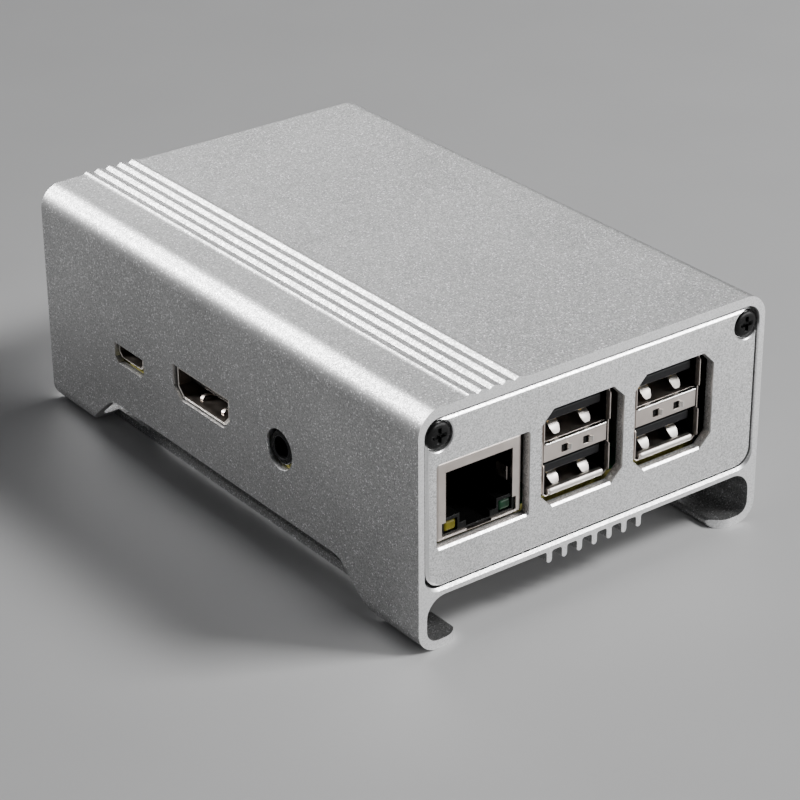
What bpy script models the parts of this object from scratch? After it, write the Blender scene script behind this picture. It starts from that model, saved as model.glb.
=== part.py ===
"""Single board computer in an extruded aluminium case, built from named solids in metres."""
import math

import bmesh
import bpy
from mathutils import Matrix, Vector

MM = 0.001
GAP = 0.3 * MM
FINE_GAP = 0.15 * MM
OVERCUT = 1.0 * MM

# case extrusion
CASE_WIDTH = 66.8 * MM
CASE_LENGTH = 103.4 * MM
CASE_TOP_Z = 39.7 * MM
CASE_CORNER_RADIUS = 4.0 * MM
SIDE_WALL = 1.2 * MM
TOP_WALL = 1.7 * MM
FLOOR_UNDERSIDE_Z = 8.95 * MM
FLOOR_TOP_Z = 10.1 * MM
CAVITY_CORNER_RADIUS = 2.7 * MM

# feet curled under the side walls
FOOT_OUTER_RADIUS = 3.5 * MM
FOOT_THICKNESS = 1.5 * MM
FOOT_LIP_INNER_X = 25.4 * MM
FOOT_LIP_CORNER_RADIUS = 3.2 * MM
FOOT_FILLET_RADIUS = 3.4 * MM
FOOT_LENGTH_AT_TABLE = 10.6 * MM
ARCH_TOP_Z = 7.75 * MM
ARCH_SLOPE = math.radians(41.0)
ARCH_FILLET_RADIUS = 5.0 * MM
ARCH_INNER_X = 28.0 * MM

# cooling fins and ridges
FIN_COUNT = 7
FIN_PITCH = 2.95 * MM
FIN_THICKNESS = 1.0 * MM
FIN_TIP_Z = 7.0 * MM
FIN_ROOT_FILLET = 0.3 * MM
RIDGE_COUNT = 5
RIDGE_START_X = -25.1 * MM
RIDGE_PITCH = 2.26 * MM
RIDGE_HEIGHT = 0.45 * MM
RIDGE_RISE_SHARE = 0.35

# screw channels and end plates
CHANNEL_X = 29.6 * MM
CHANNEL_Z = 35.1 * MM
CHANNEL_WALL_RADIUS = 2.6 * MM
CHANNEL_BORE = 2.5 * MM
PLATE_THICKNESS = 1.5 * MM
PLATE_CORNER_RADIUS = 3.0 * MM
PLATE_CHAMFER = 0.35 * MM
PLATE_SCREW_HOLE = 2.9 * MM
PLATE_COUNTERBORE = 5.0 * MM
PLATE_COUNTERBORE_DEPTH = 1.0 * MM
PLATE_SCREW_HEAD = 4.5 * MM
PLATE_SCREW_HEAD_HEIGHT = 0.85 * MM
PLATE_SCREW_SHANK = 2.1 * MM
PLATE_SCREW_REACH = 7.0 * MM
CROSS_WIDTH = 0.7 * MM
CROSS_SPAN = 2.6 * MM
CROSS_DEPTH = 0.5 * MM

# circuit board
BOARD_LENGTH = 85.0 * MM
BOARD_WIDTH = 56.0 * MM
BOARD_THICKNESS = 1.5 * MM
BOARD_TOP_Z = 16.7 * MM
BOARD_CORNER_RADIUS = 3.0 * MM
BOARD_SETBACK = 3.2 * MM
BOARD_LEFT_X = -31.8 * MM
BOARD_HOLE = 2.75 * MM
BOARD_HOLE_INSET = 3.5 * MM
BOARD_HOLE_SPACING_LONG = 58.0 * MM
BOARD_HOLE_SPACING_WIDE = 49.0 * MM
PART_Z = BOARD_TOP_Z + FINE_GAP

# tray that carries the board
TRAY_THICKNESS = 1.0 * MM
TRAY_WIDTH = 59.0 * MM
TRAY_CORNER_RADIUS = 2.0 * MM
STANDOFF_WIDTH = 4.8 * MM
STANDOFF_BORE = 2.6 * MM
BOARD_SCREW_HEAD = 4.4 * MM
BOARD_SCREW_HEAD_HEIGHT = 1.6 * MM
BOARD_SCREW_SHANK = 2.2 * MM
BOARD_SCREW_LENGTH = 4.6 * MM

# network jack
JACK_Y_BOARD = 10.25 * MM
JACK_WIDTH = 15.9 * MM
JACK_BOTTOM_Z = 17.05 * MM
JACK_HEIGHT = 13.15 * MM
JACK_LENGTH = 21.3 * MM
JACK_WALL = 0.5 * MM
JACK_OVERHANG = 2.2 * MM
JACK_CUT_WIDTH = 16.8 * MM
JACK_CUT_HEIGHT = 13.5 * MM
JACK_CUT_Z = 23.63 * MM
JACK_PORT_WIDTH = 12.2 * MM
JACK_PORT_TOP_Z = 28.2 * MM
JACK_PORT_BOTTOM_Z = 20.5 * MM
JACK_PORT_DEPTH = 13.0 * MM
JACK_STEP_WIDTH = 6.8 * MM
JACK_STEP_Z = 18.9 * MM
JACK_LATCH_WIDTH = 4.4 * MM
JACK_LATCH_Z = 18.0 * MM
JACK_LED_WIDTH = 2.6 * MM
JACK_LED_HEIGHT = 2.1 * MM
JACK_LED_DEPTH = 6.0 * MM
JACK_LED_OFFSET = 5.05 * MM
JACK_LED_Z = 19.0 * MM

# stacked double USB sockets
USB_FIRST_Y_BOARD = 29.0 * MM
USB_SECOND_Y_BOARD = 47.0 * MM
USB_OVERHANG = 2.0 * MM
USB_WIDTH = 13.1 * MM
USB_BOTTOM_Z = 16.95 * MM
USB_HEIGHT = 15.5 * MM
USB_LENGTH = 17.5 * MM
USB_WALL = 0.5 * MM
USB_CORNER = 0.8 * MM
USB_PORT_HEIGHT = 5.4 * MM
USB_PORT_DEPTH = 12.5 * MM
USB_DIVIDER_HEIGHT = 3.1 * MM
USB_TONGUE_WIDTH = 11.1 * MM
USB_TONGUE_HEIGHT = 1.9 * MM
USB_TONGUE_LENGTH = 11.0 * MM
USB_TONGUE_DROP = 0.6 * MM
USB_CUT_WIDTH = 15.7 * MM
USB_CUT_HEIGHT = 16.0 * MM
USB_CUT_Z = 24.68 * MM
USB_CUT_CHAMFER = 2.07 * MM

# display socket on the left side
HDMI_X_BOARD = 32.0 * MM
HDMI_CUT_WIDTH = 16.0 * MM
HDMI_CUT_HEIGHT = 5.7 * MM
HDMI_CUT_Z = 19.5 * MM
HDMI_CUT_CHAMFER = 1.9 * MM
HDMI_WIDTH = 15.0 * MM
HDMI_HEIGHT = 5.4 * MM
HDMI_LENGTH = 11.4 * MM
HDMI_WALL = 0.5 * MM
HDMI_CHAMFER = 1.6 * MM
HDMI_PORT_DEPTH = 9.0 * MM
HDMI_TONGUE_WIDTH = 11.6 * MM
HDMI_TONGUE_HEIGHT = 1.3 * MM
SIDE_SOCKET_FACE_X = -33.0 * MM

# power socket on the left side
MICRO_X_BOARD = 10.6 * MM
MICRO_CUT_WIDTH = 8.8 * MM
MICRO_CUT_HEIGHT = 3.5 * MM
MICRO_CUT_Z = 17.6 * MM
MICRO_CUT_CHAMFER = 0.9 * MM
MICRO_WIDTH = 7.5 * MM
MICRO_HEIGHT = 2.4 * MM
MICRO_LENGTH = 5.6 * MM
MICRO_WALL = 0.35 * MM
MICRO_CHAMFER = 0.8 * MM
MICRO_PORT_DEPTH = 4.6 * MM
MICRO_TONGUE_WIDTH = 4.4 * MM
MICRO_TONGUE_HEIGHT = 0.6 * MM

# audio and video jack
AV_X_BOARD = 53.5 * MM
AV_CUT_DIAMETER = 6.8 * MM
AV_CUT_Z = 19.45 * MM
AV_BARREL_DIAMETER = 5.6 * MM
AV_BARREL_LENGTH = 3.0 * MM
AV_BORE = 3.6 * MM
AV_BODY_LENGTH = 12.0 * MM
AV_BODY_WIDTH = 6.4 * MM
AV_BODY_HEIGHT = 5.2 * MM
AV_BORE_DEPTH = 12.0 * MM

# pin header
HEADER_X_BOARD = 32.5 * MM
HEADER_Y_BOARD = 52.5 * MM
HEADER_PITCH = 2.54 * MM
HEADER_PINS = 20
HEADER_BASE_HEIGHT = 2.5 * MM
HEADER_PIN_TOP = 8.5 * MM
HEADER_PIN_SIDE = 0.64 * MM

# ribbon cable sockets with pull-up latches
FLEX_LENGTH = 22.0 * MM
FLEX_DEPTH = 3.2 * MM
FLEX_HEIGHT = 4.4 * MM
FLEX_SLOT_LENGTH = 16.4 * MM
FLEX_SLOT_WIDTH = 0.8 * MM
FLEX_SLOT_DEPTH = 3.2 * MM
LATCH_HEIGHT = 1.3 * MM
LATCH_LEG_WIDTH = 1.2 * MM
LATCH_LEG_DEPTH = 1.6 * MM
LATCH_LEG_HEIGHT = 2.2 * MM
DISPLAY_FLEX_X_BOARD = 4.2 * MM
DISPLAY_FLEX_Y_BOARD = 28.0 * MM
CAMERA_FLEX_X_BOARD = 45.0 * MM
CAMERA_FLEX_Y_BOARD = 11.8 * MM

# memory card
CARD_LENGTH = 15.0 * MM
CARD_WIDTH = 11.0 * MM
CARD_THICKNESS = 1.0 * MM
CARD_OVERHANG = 2.3 * MM
CARD_EAR_WIDTH = 0.7 * MM
CARD_NARROW_LENGTH = 8.6 * MM
CARD_SOCKET_WIDTH = 14.0 * MM
CARD_SOCKET_LENGTH = 14.6 * MM
CARD_SOCKET_HEIGHT = 1.9 * MM
CARD_SOCKET_WALL = 0.3 * MM
CARD_Y_BOARD = 28.0 * MM

METAL_COLOUR = (0.42, 0.42, 0.44)
PLATE_COLOUR = (0.62, 0.62, 0.64)
NICKEL_COLOUR = (0.60, 0.56, 0.50)
STEEL_COLOUR = (0.66, 0.66, 0.66)
BLACK_COLOUR = (0.012, 0.012, 0.013)
BOARD_COLOUR = (0.02, 0.16, 0.05)
GOLD_COLOUR = (0.75, 0.55, 0.22)

ROUND_STEPS = 24
CORNER_STEPS = 5

FRONT_Y = -CASE_LENGTH / 2
REAR_Y = CASE_LENGTH / 2
SIDE_X = CASE_WIDTH / 2
CAVITY_X = SIDE_X - SIDE_WALL
CAVITY_TOP_Z = CASE_TOP_Z - TOP_WALL
PLATE_MIDDLE_Z = (FLOOR_TOP_Z + CAVITY_TOP_Z) / 2
BOARD_FRONT_Y = FRONT_Y + BOARD_SETBACK
JACK_FACE_Y = BOARD_FRONT_Y - JACK_OVERHANG
USB_FACE_Y = BOARD_FRONT_Y - USB_OVERHANG


def board_x(across):
    """World X of a place measured across the board from its socket edge."""
    return BOARD_LEFT_X + across


def board_y(along):
    """World Y of a place measured along the board from its card edge."""
    return BOARD_FRONT_Y + BOARD_LENGTH - along


def clear_scene():
    for old in list(bpy.data.objects):
        bpy.data.objects.remove(old)


def make_collection(name):
    collection = bpy.data.collections.new(name)
    bpy.context.scene.collection.children.link(collection)
    return collection


def make_material(name, colour, roughness, metallic):
    material = bpy.data.materials.new(name)
    material.use_nodes = True
    shader = material.node_tree.nodes["Principled BSDF"]
    shader.inputs["Base Color"].default_value = (*colour, 1.0)
    shader.inputs["Roughness"].default_value = roughness
    shader.inputs["Metallic"].default_value = metallic
    material.diffuse_color = (*colour, 1.0)
    return material


def finish_mesh(bm, name, collection, origin=(0.0, 0.0, 0.0)):
    """Turns a bmesh in world places into an object whose origin is at the given place."""
    bmesh.ops.recalc_face_normals(bm, faces=bm.faces)
    bmesh.ops.translate(bm, verts=bm.verts, vec=-Vector(origin))
    mesh = bpy.data.meshes.new(name)
    bm.to_mesh(mesh)
    bm.free()
    made = bpy.data.objects.new(name, mesh)
    made.location = origin
    collection.objects.link(made)
    return made


def add_prism(bm, outline, axis, start, end):
    """Extrudes a flat outline along X, Y or Z between two places."""
    def place(point, depth):
        first, second = point
        if axis == "X":
            return (depth, first, second)
        if axis == "Y":
            return (first, depth, second)
        return (first, second, depth)
    near = [bm.verts.new(place(point, start)) for point in outline]
    far = [bm.verts.new(place(point, end)) for point in outline]
    bm.faces.new(near)
    bm.faces.new(list(reversed(far)))
    for index in range(len(outline)):
        after = (index + 1) % len(outline)
        bm.faces.new((near[index], far[index], far[after], near[after]))


def prism(name, collection, outline, axis, start, end, origin=(0.0, 0.0, 0.0)):
    bm = bmesh.new()
    add_prism(bm, outline, axis, start, end)
    return finish_mesh(bm, name, collection, origin)


def arc(centre_a, centre_b, radius, start, end, steps):
    """Points on an arc, angles in degrees."""
    points = []
    for step in range(steps + 1):
        angle = math.radians(start + (end - start) * step / steps)
        points.append((centre_a + radius * math.cos(angle), centre_b + radius * math.sin(angle)))
    return points


def rounded_rectangle(left, right, low, high, radius, steps=CORNER_STEPS):
    points = arc(right - radius, high - radius, radius, 0, 90, steps)
    points += arc(left + radius, high - radius, radius, 90, 180, steps)
    points += arc(left + radius, low + radius, radius, 180, 270, steps)
    points += arc(right - radius, low + radius, radius, 270, 360, steps)
    return points


def chamfered_rectangle(centre, middle, width, height, top_chamfer, bottom_chamfer):
    left = centre - width / 2
    right = centre + width / 2
    low = middle - height / 2
    high = middle + height / 2
    points = [(left + bottom_chamfer, low), (right - bottom_chamfer, low), (right, low + bottom_chamfer)]
    if top_chamfer > 0:
        points += [(right, high - top_chamfer), (right - top_chamfer, high)]
        points += [(left + top_chamfer, high), (left, high - top_chamfer)]
    else:
        points += [(right, high), (left, high)]
    points.append((left, low + bottom_chamfer))
    return points


def rectangle(left, right, low, high):
    return [(left, low), (right, low), (right, high), (left, high)]


def circle(centre_a, centre_b, diameter, steps=ROUND_STEPS):
    return arc(centre_a, centre_b, diameter / 2, 0, 360, steps)[:-1]


def block(name, collection, x_range, y_range, z_range, origin=(0.0, 0.0, 0.0)):
    return prism(name, collection, rectangle(*x_range, *y_range), "Z", *z_range, origin)


def combine(target, tool, operation="DIFFERENCE"):
    modifier = target.modifiers.new(operation.title() + " " + tool.name, "BOOLEAN")
    modifier.operation = operation
    modifier.solver = "EXACT"
    modifier.object = tool
    tool.hide_render = True
    tool.display_type = "WIRE"


def cut(target, outline, axis, start, end):
    tool = prism(target.name + "_cut", CUTTERS, outline, axis, start, end)
    combine(target, tool)


def weld_on(target, outline, axis, start, end):
    tool = prism(target.name + "_add", CUTTERS, outline, axis, start, end)
    combine(target, tool, "UNION")


def bevel_edges(target, width, segments=1):
    modifier = target.modifiers.new("Edge chamfer", "BEVEL")
    modifier.width = width
    modifier.segments = segments
    modifier.limit_method = "ANGLE"
    modifier.angle_limit = math.radians(50.0)


def paint(target, material):
    target.data.materials.append(material)


# ---- case ----------------------------------------------------------------

def mirrored(points):
    return [(-first, second) for first, second in reversed(points)]


def left_foot_outline():
    """The left wall's outside from the top corner down, the foot, and back to the floor."""
    points = arc(-SIDE_X + CASE_CORNER_RADIUS, CASE_TOP_Z - CASE_CORNER_RADIUS, CASE_CORNER_RADIUS, 90, 180, 8)
    foot_x = -SIDE_X + FOOT_OUTER_RADIUS
    points += arc(foot_x, FOOT_OUTER_RADIUS, FOOT_OUTER_RADIUS, 180, 270, 8)
    tip = FOOT_THICKNESS / 2
    points += arc(-FOOT_LIP_INNER_X - tip, tip, tip, -90, 90, 6)
    inner = FOOT_OUTER_RADIUS - FOOT_THICKNESS
    points += arc(foot_x, FOOT_OUTER_RADIUS, inner, 270, 180, 6)
    fillet_x = foot_x - inner + FOOT_FILLET_RADIUS
    points += arc(fillet_x, FLOOR_UNDERSIDE_Z - FOOT_FILLET_RADIUS, FOOT_FILLET_RADIUS, 180, 90, 8)
    return points


def fin_outline():
    """Seven rounded fins hanging under the floor, left to right."""
    points = []
    half = FIN_THICKNESS / 2
    for index in range(FIN_COUNT):
        centre = (index - (FIN_COUNT - 1) / 2) * FIN_PITCH
        points.append((centre - half - FIN_ROOT_FILLET, FLOOR_UNDERSIDE_Z))
        points.append((centre - half, FLOOR_UNDERSIDE_Z - FIN_ROOT_FILLET))
        points += arc(centre, FIN_TIP_Z + half, half, 180, 360, 4)
        points.append((centre + half, FLOOR_UNDERSIDE_Z - FIN_ROOT_FILLET))
        points.append((centre + half + FIN_ROOT_FILLET, FLOOR_UNDERSIDE_Z))
    return points


def ridge_outline():
    """Sawtooth ridges on the top, right to left."""
    points = []
    for index in reversed(range(RIDGE_COUNT)):
        start = RIDGE_START_X + index * RIDGE_PITCH
        points.append((start + RIDGE_PITCH, CASE_TOP_Z))
        points.append((start + RIDGE_PITCH * RIDGE_RISE_SHARE, CASE_TOP_Z + RIDGE_HEIGHT))
    points.append((RIDGE_START_X, CASE_TOP_Z))
    return points


def cavity_outline():
    """The inside of the tube with a screw channel block in each upper corner."""
    radius = CAVITY_CORNER_RADIUS
    block_x = CHANNEL_X - CHANNEL_WALL_RADIUS
    right = [(block_x, CAVITY_TOP_Z)]
    right += arc(CHANNEL_X, CHANNEL_Z, CHANNEL_WALL_RADIUS, 180, 270, 6)
    right.append((CAVITY_X, CHANNEL_Z - CHANNEL_WALL_RADIUS))
    right += arc(CAVITY_X - radius, FLOOR_TOP_Z + radius, radius, 0, -90, CORNER_STEPS)
    return right + mirrored(right)


def arch_outline():
    """The gap between the front and rear feet, seen from the side."""
    front = FRONT_Y + FOOT_LENGTH_AT_TABLE
    corner = front + ARCH_TOP_Z / math.tan(ARCH_SLOPE)
    tangent = ARCH_FILLET_RADIUS * math.tan(ARCH_SLOPE / 2)
    centre_z = ARCH_TOP_Z - ARCH_FILLET_RADIUS
    start = 90 + math.degrees(ARCH_SLOPE)
    below = OVERCUT / math.tan(ARCH_SLOPE)
    half = [(front - below, -OVERCUT)]
    half += arc(corner + tangent, centre_z, ARCH_FILLET_RADIUS, start, 90, 6)
    return half + mirrored(half)


def build_case():
    outline = ridge_outline()
    outline += left_foot_outline()
    outline += fin_outline()
    outline += mirrored(left_foot_outline())
    case = prism("case_body", PART, outline, "Y", FRONT_Y, REAR_Y)
    paint(case, METAL)
    cut(case, cavity_outline(), "Y", FRONT_Y - OVERCUT, REAR_Y + OVERCUT)
    seat = rounded_rectangle(-CAVITY_X, CAVITY_X, FLOOR_TOP_Z, CAVITY_TOP_Z, CAVITY_CORNER_RADIUS)
    seat_depth = PLATE_THICKNESS + GAP
    cut(case, seat, "Y", FRONT_Y - OVERCUT, FRONT_Y + seat_depth)
    cut(case, seat, "Y", REAR_Y - seat_depth, REAR_Y + OVERCUT)
    for side in (-1, 1):
        bore = circle(side * CHANNEL_X, CHANNEL_Z, CHANNEL_BORE, 16)
        cut(case, bore, "Y", FRONT_Y - OVERCUT, REAR_Y + OVERCUT)
        cut(case, arch_outline(), "X", side * ARCH_INNER_X, side * (SIDE_X + OVERCUT))
        for end in (-1, 1):
            cut(case, lip_corner_outline(side, end), "Z", -OVERCUT, FOOT_THICKNESS + OVERCUT)
    wall = (-SIDE_X - OVERCUT, -CAVITY_X + OVERCUT)
    hdmi = chamfered_rectangle(
        board_y(HDMI_X_BOARD), HDMI_CUT_Z, HDMI_CUT_WIDTH, HDMI_CUT_HEIGHT, 0, HDMI_CUT_CHAMFER
    )
    cut(case, hdmi, "X", *wall)
    micro = chamfered_rectangle(
        board_y(MICRO_X_BOARD), MICRO_CUT_Z, MICRO_CUT_WIDTH, MICRO_CUT_HEIGHT, 0, MICRO_CUT_CHAMFER
    )
    cut(case, micro, "X", *wall)
    cut(case, circle(board_y(AV_X_BOARD), AV_CUT_Z, AV_CUT_DIAMETER, 32), "X", *wall)
    return case


def lip_corner_outline(side, end):
    """What is cut off one lip's free corner so that it is round from above."""
    radius = FOOT_LIP_CORNER_RADIUS
    centre_x = FOOT_LIP_INNER_X + radius
    centre_y = REAR_Y - radius
    points = arc(centre_x, centre_y, radius, 180, 90, CORNER_STEPS)
    points.append((centre_x, REAR_Y + OVERCUT))
    points.append((FOOT_LIP_INNER_X - OVERCUT, REAR_Y + OVERCUT))
    points.append((FOOT_LIP_INNER_X - OVERCUT, centre_y))
    return [(side * first, end * second) for first, second in points]


# ---- end plates ----------------------------------------------------------

def build_end_plate(name, outer_y, inward):
    """A plate inset in one end of the tube; inward is the direction into the case."""
    outline = rounded_rectangle(
        -CAVITY_X + GAP, CAVITY_X - GAP, FLOOR_TOP_Z + GAP, CAVITY_TOP_Z - GAP, PLATE_CORNER_RADIUS
    )
    origin = (0.0, outer_y, PLATE_MIDDLE_Z)
    plate = prism(name, PART, outline, "Y", outer_y, outer_y + inward * PLATE_THICKNESS, origin)
    paint(plate, PLATE)
    bevel_edges(plate, PLATE_CHAMFER)
    outside = outer_y - inward * OVERCUT
    inside = outer_y + inward * (PLATE_THICKNESS + OVERCUT)
    for side in (-1, 1):
        hole = circle(side * CHANNEL_X, CHANNEL_Z, PLATE_SCREW_HOLE)
        cut(plate, hole, "Y", outside, inside)
        counterbore = circle(side * CHANNEL_X, CHANNEL_Z, PLATE_COUNTERBORE)
        cut(plate, counterbore, "Y", outside, outer_y + inward * PLATE_COUNTERBORE_DEPTH)
    return plate


def build_front_plate():
    plate = build_end_plate("front_plate", FRONT_Y, 1)
    through = (FRONT_Y - OVERCUT, FRONT_Y + PLATE_THICKNESS + OVERCUT)
    jack_x = board_x(JACK_Y_BOARD)
    jack = rounded_rectangle(
        jack_x - JACK_CUT_WIDTH / 2, jack_x + JACK_CUT_WIDTH / 2,
        JACK_CUT_Z - JACK_CUT_HEIGHT / 2, JACK_CUT_Z + JACK_CUT_HEIGHT / 2, GAP, 2
    )
    cut(plate, jack, "Y", *through)
    for across in (USB_FIRST_Y_BOARD, USB_SECOND_Y_BOARD):
        opening = chamfered_rectangle(
            board_x(across), USB_CUT_Z, USB_CUT_WIDTH, USB_CUT_HEIGHT, USB_CUT_CHAMFER, USB_CUT_CHAMFER
        )
        cut(plate, opening, "Y", *through)


def build_plate_screw(name, centre_x, outer_y, inward):
    seat_y = outer_y + inward * (PLATE_COUNTERBORE_DEPTH - FINE_GAP)
    face_y = seat_y - inward * PLATE_SCREW_HEAD_HEIGHT
    head = circle(centre_x, CHANNEL_Z, PLATE_SCREW_HEAD)
    screw = prism(name, PART, head, "Y", face_y, seat_y, (0.0, outer_y, PLATE_MIDDLE_Z))
    paint(screw, SCREW)
    shank = circle(centre_x, CHANNEL_Z, PLATE_SCREW_SHANK, 16)
    weld_on(screw, shank, "Y", seat_y - inward * GAP, outer_y + inward * PLATE_SCREW_REACH)
    depth = (face_y - inward * OVERCUT, face_y + inward * CROSS_DEPTH)
    half_span = CROSS_SPAN / 2
    half_width = CROSS_WIDTH / 2
    for wide, tall in ((half_span, half_width), (half_width, half_span)):
        arm = rectangle(centre_x - wide, centre_x + wide, CHANNEL_Z - tall, CHANNEL_Z + tall)
        cut(screw, arm, "Y", *depth)


# ---- board and its carrier -----------------------------------------------

def board_hole_places():
    """Name and place of each of the four holes in the board."""
    places = []
    for row, along in (("rear", BOARD_HOLE_INSET), ("front", BOARD_HOLE_INSET + BOARD_HOLE_SPACING_LONG)):
        for column, across in (("left", BOARD_HOLE_INSET), ("right", BOARD_HOLE_INSET + BOARD_HOLE_SPACING_WIDE)):
            places.append((row + "_" + column, board_x(across), board_y(along)))
    return places


def build_board():
    outline = rounded_rectangle(
        board_x(0), board_x(BOARD_WIDTH), board_y(BOARD_LENGTH), board_y(0), BOARD_CORNER_RADIUS
    )
    board = prism("circuit_board", PART, outline, "Z", BOARD_TOP_Z - BOARD_THICKNESS, BOARD_TOP_Z)
    paint(board, BOARD)
    for _, x, y in board_hole_places():
        cut(board, circle(x, y, BOARD_HOLE), "Z", BOARD_TOP_Z - BOARD_THICKNESS - OVERCUT, BOARD_TOP_Z + OVERCUT)


def build_tray():
    end = CASE_LENGTH / 2 - PLATE_THICKNESS - GAP
    low = FLOOR_TOP_Z + GAP
    outline = rounded_rectangle(-TRAY_WIDTH / 2, TRAY_WIDTH / 2, -end, end, TRAY_CORNER_RADIUS)
    tray = prism("board_tray", PART, outline, "Z", low, low + TRAY_THICKNESS)
    paint(tray, TRAY)


def build_board_fixings():
    tray_top = FLOOR_TOP_Z + GAP + TRAY_THICKNESS
    board_bottom = BOARD_TOP_Z - BOARD_THICKNESS
    for label, x, y in board_hole_places():
        low = tray_top + FINE_GAP
        high = board_bottom - FINE_GAP
        hexagon = circle(x, y, STANDOFF_WIDTH / math.cos(math.radians(30)), 6)
        standoff = prism("standoff_" + label, PART, hexagon, "Z", low, high)
        paint(standoff, BRASS)
        cut(standoff, circle(x, y, STANDOFF_BORE, 16), "Z", low - OVERCUT, high + OVERCUT)
        seat = BOARD_TOP_Z + FINE_GAP
        top = seat + BOARD_SCREW_HEAD_HEIGHT
        screw = prism("board_screw_" + label, PART, circle(x, y, BOARD_SCREW_HEAD, 20), "Z", seat, top)
        paint(screw, STEEL)
        weld_on(screw, circle(x, y, BOARD_SCREW_SHANK, 16), "Z", seat - BOARD_SCREW_LENGTH, seat + GAP)
        for wide, deep in ((CROSS_SPAN / 2, CROSS_WIDTH / 2), (CROSS_WIDTH / 2, CROSS_SPAN / 2)):
            arm = rectangle(x - wide, x + wide, y - deep, y + deep)
            cut(screw, arm, "Z", top - CROSS_DEPTH, top + OVERCUT)


# ---- sockets on the front edge -------------------------------------------

def build_network_jack():
    x = board_x(JACK_Y_BOARD)
    half = JACK_WIDTH / 2
    top = JACK_BOTTOM_Z + JACK_HEIGHT
    back = JACK_FACE_Y + JACK_LENGTH
    shield = prism("ethernet_shield", PART, rectangle(x - half, x + half, JACK_BOTTOM_Z, top), "Y", JACK_FACE_Y, back)
    paint(shield, NICKEL)
    inner = rectangle(x - half + JACK_WALL, x + half - JACK_WALL, JACK_BOTTOM_Z + JACK_WALL, top - JACK_WALL)
    cut(shield, inner, "Y", JACK_FACE_Y - OVERCUT, back - JACK_WALL)
    side = half - JACK_WALL - FINE_GAP
    low = JACK_BOTTOM_Z + JACK_WALL + FINE_GAP
    high = top - JACK_WALL - FINE_GAP
    face = JACK_FACE_Y + GAP
    insert = prism("ethernet_insert", PART, rectangle(x - side, x + side, low, high), "Y", face, back - JACK_WALL - GAP)
    paint(insert, PLASTIC)
    port = []
    for mirror in (1, -1):
        steps = [
            (JACK_PORT_WIDTH / 2, JACK_PORT_TOP_Z), (JACK_PORT_WIDTH / 2, JACK_PORT_BOTTOM_Z),
            (JACK_STEP_WIDTH / 2, JACK_PORT_BOTTOM_Z), (JACK_STEP_WIDTH / 2, JACK_STEP_Z),
            (JACK_LATCH_WIDTH / 2, JACK_STEP_Z), (JACK_LATCH_WIDTH / 2, JACK_LATCH_Z),
        ]
        if mirror < 0:
            steps.reverse()
        port += [(x + mirror * wide, z) for wide, z in steps]
    cut(insert, port, "Y", face - OVERCUT, face + JACK_PORT_DEPTH)
    for name, sign, material in (("left", -1, YELLOW_LIGHT), ("right", 1, GREEN_LIGHT)):
        centre = x + sign * JACK_LED_OFFSET
        wide = JACK_LED_WIDTH / 2
        tall = JACK_LED_HEIGHT / 2
        window = rectangle(centre - wide, centre + wide, JACK_LED_Z - tall, JACK_LED_Z + tall)
        cut(insert, window, "Y", face - OVERCUT, face + JACK_LED_DEPTH)
        wide -= FINE_GAP
        tall -= FINE_GAP
        lens = rectangle(centre - wide, centre + wide, JACK_LED_Z - tall, JACK_LED_Z + tall)
        light = prism("ethernet_light_" + name, PART, lens, "Y", face, face + JACK_LED_DEPTH - GAP)
        paint(light, material)


def build_usb_stack(label, across):
    x = board_x(across)
    top = USB_BOTTOM_Z + USB_HEIGHT
    back = USB_FACE_Y + USB_LENGTH
    middle = (USB_BOTTOM_Z + top) / 2
    outline = chamfered_rectangle(x, middle, USB_WIDTH, USB_HEIGHT, USB_CORNER, USB_CORNER)
    shell = prism("usb_shell_" + label, PART, outline, "Y", USB_FACE_Y, back)
    paint(shell, STEEL)
    lower = USB_BOTTOM_Z + (USB_HEIGHT - 2 * USB_PORT_HEIGHT - USB_DIVIDER_HEIGHT) / 2
    upper = lower + USB_PORT_HEIGHT + USB_DIVIDER_HEIGHT
    inner = USB_WIDTH / 2 - USB_WALL
    for name, low in (("lower", lower), ("upper", upper)):
        high = low + USB_PORT_HEIGHT
        cut(shell, rectangle(x - inner, x + inner, low, high), "Y", USB_FACE_Y - OVERCUT, USB_FACE_Y + USB_PORT_DEPTH)
        tongue_top = high - USB_TONGUE_DROP
        wide = USB_TONGUE_WIDTH / 2
        end = USB_FACE_Y + USB_PORT_DEPTH - FINE_GAP
        tongue = block(
            "usb_tongue_" + label + "_" + name, PART, (x - wide, x + wide),
            (end - USB_TONGUE_LENGTH, end), (tongue_top - USB_TONGUE_HEIGHT, tongue_top)
        )
        paint(tongue, PLASTIC)


# ---- sockets on the left side --------------------------------------------

def build_side_socket(label, along, width, height, length, wall, chamfer, depth, tongue_width, tongue_height):
    """A metal socket opening to the left, with its plastic tongue inside."""
    y = board_y(along)
    middle = PART_Z + height / 2
    face = SIDE_SOCKET_FACE_X
    outer = chamfered_rectangle(y, middle, width, height, 0, chamfer)
    shell = prism(label + "_shell", PART, outer, "X", face, face + length)
    paint(shell, STEEL)
    inner_chamfer = chamfer * (1 - wall / height)
    inner = chamfered_rectangle(y, middle, width - 2 * wall, height - 2 * wall, 0, inner_chamfer)
    cut(shell, inner, "X", face - OVERCUT, face + depth)
    half = tongue_width / 2
    end = face + depth - FINE_GAP
    tongue = block(
        label + "_tongue", PART, (face + 0.2 * depth, end), (y - half, y + half),
        (middle, middle + tongue_height)
    )
    paint(tongue, PLASTIC)


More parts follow.
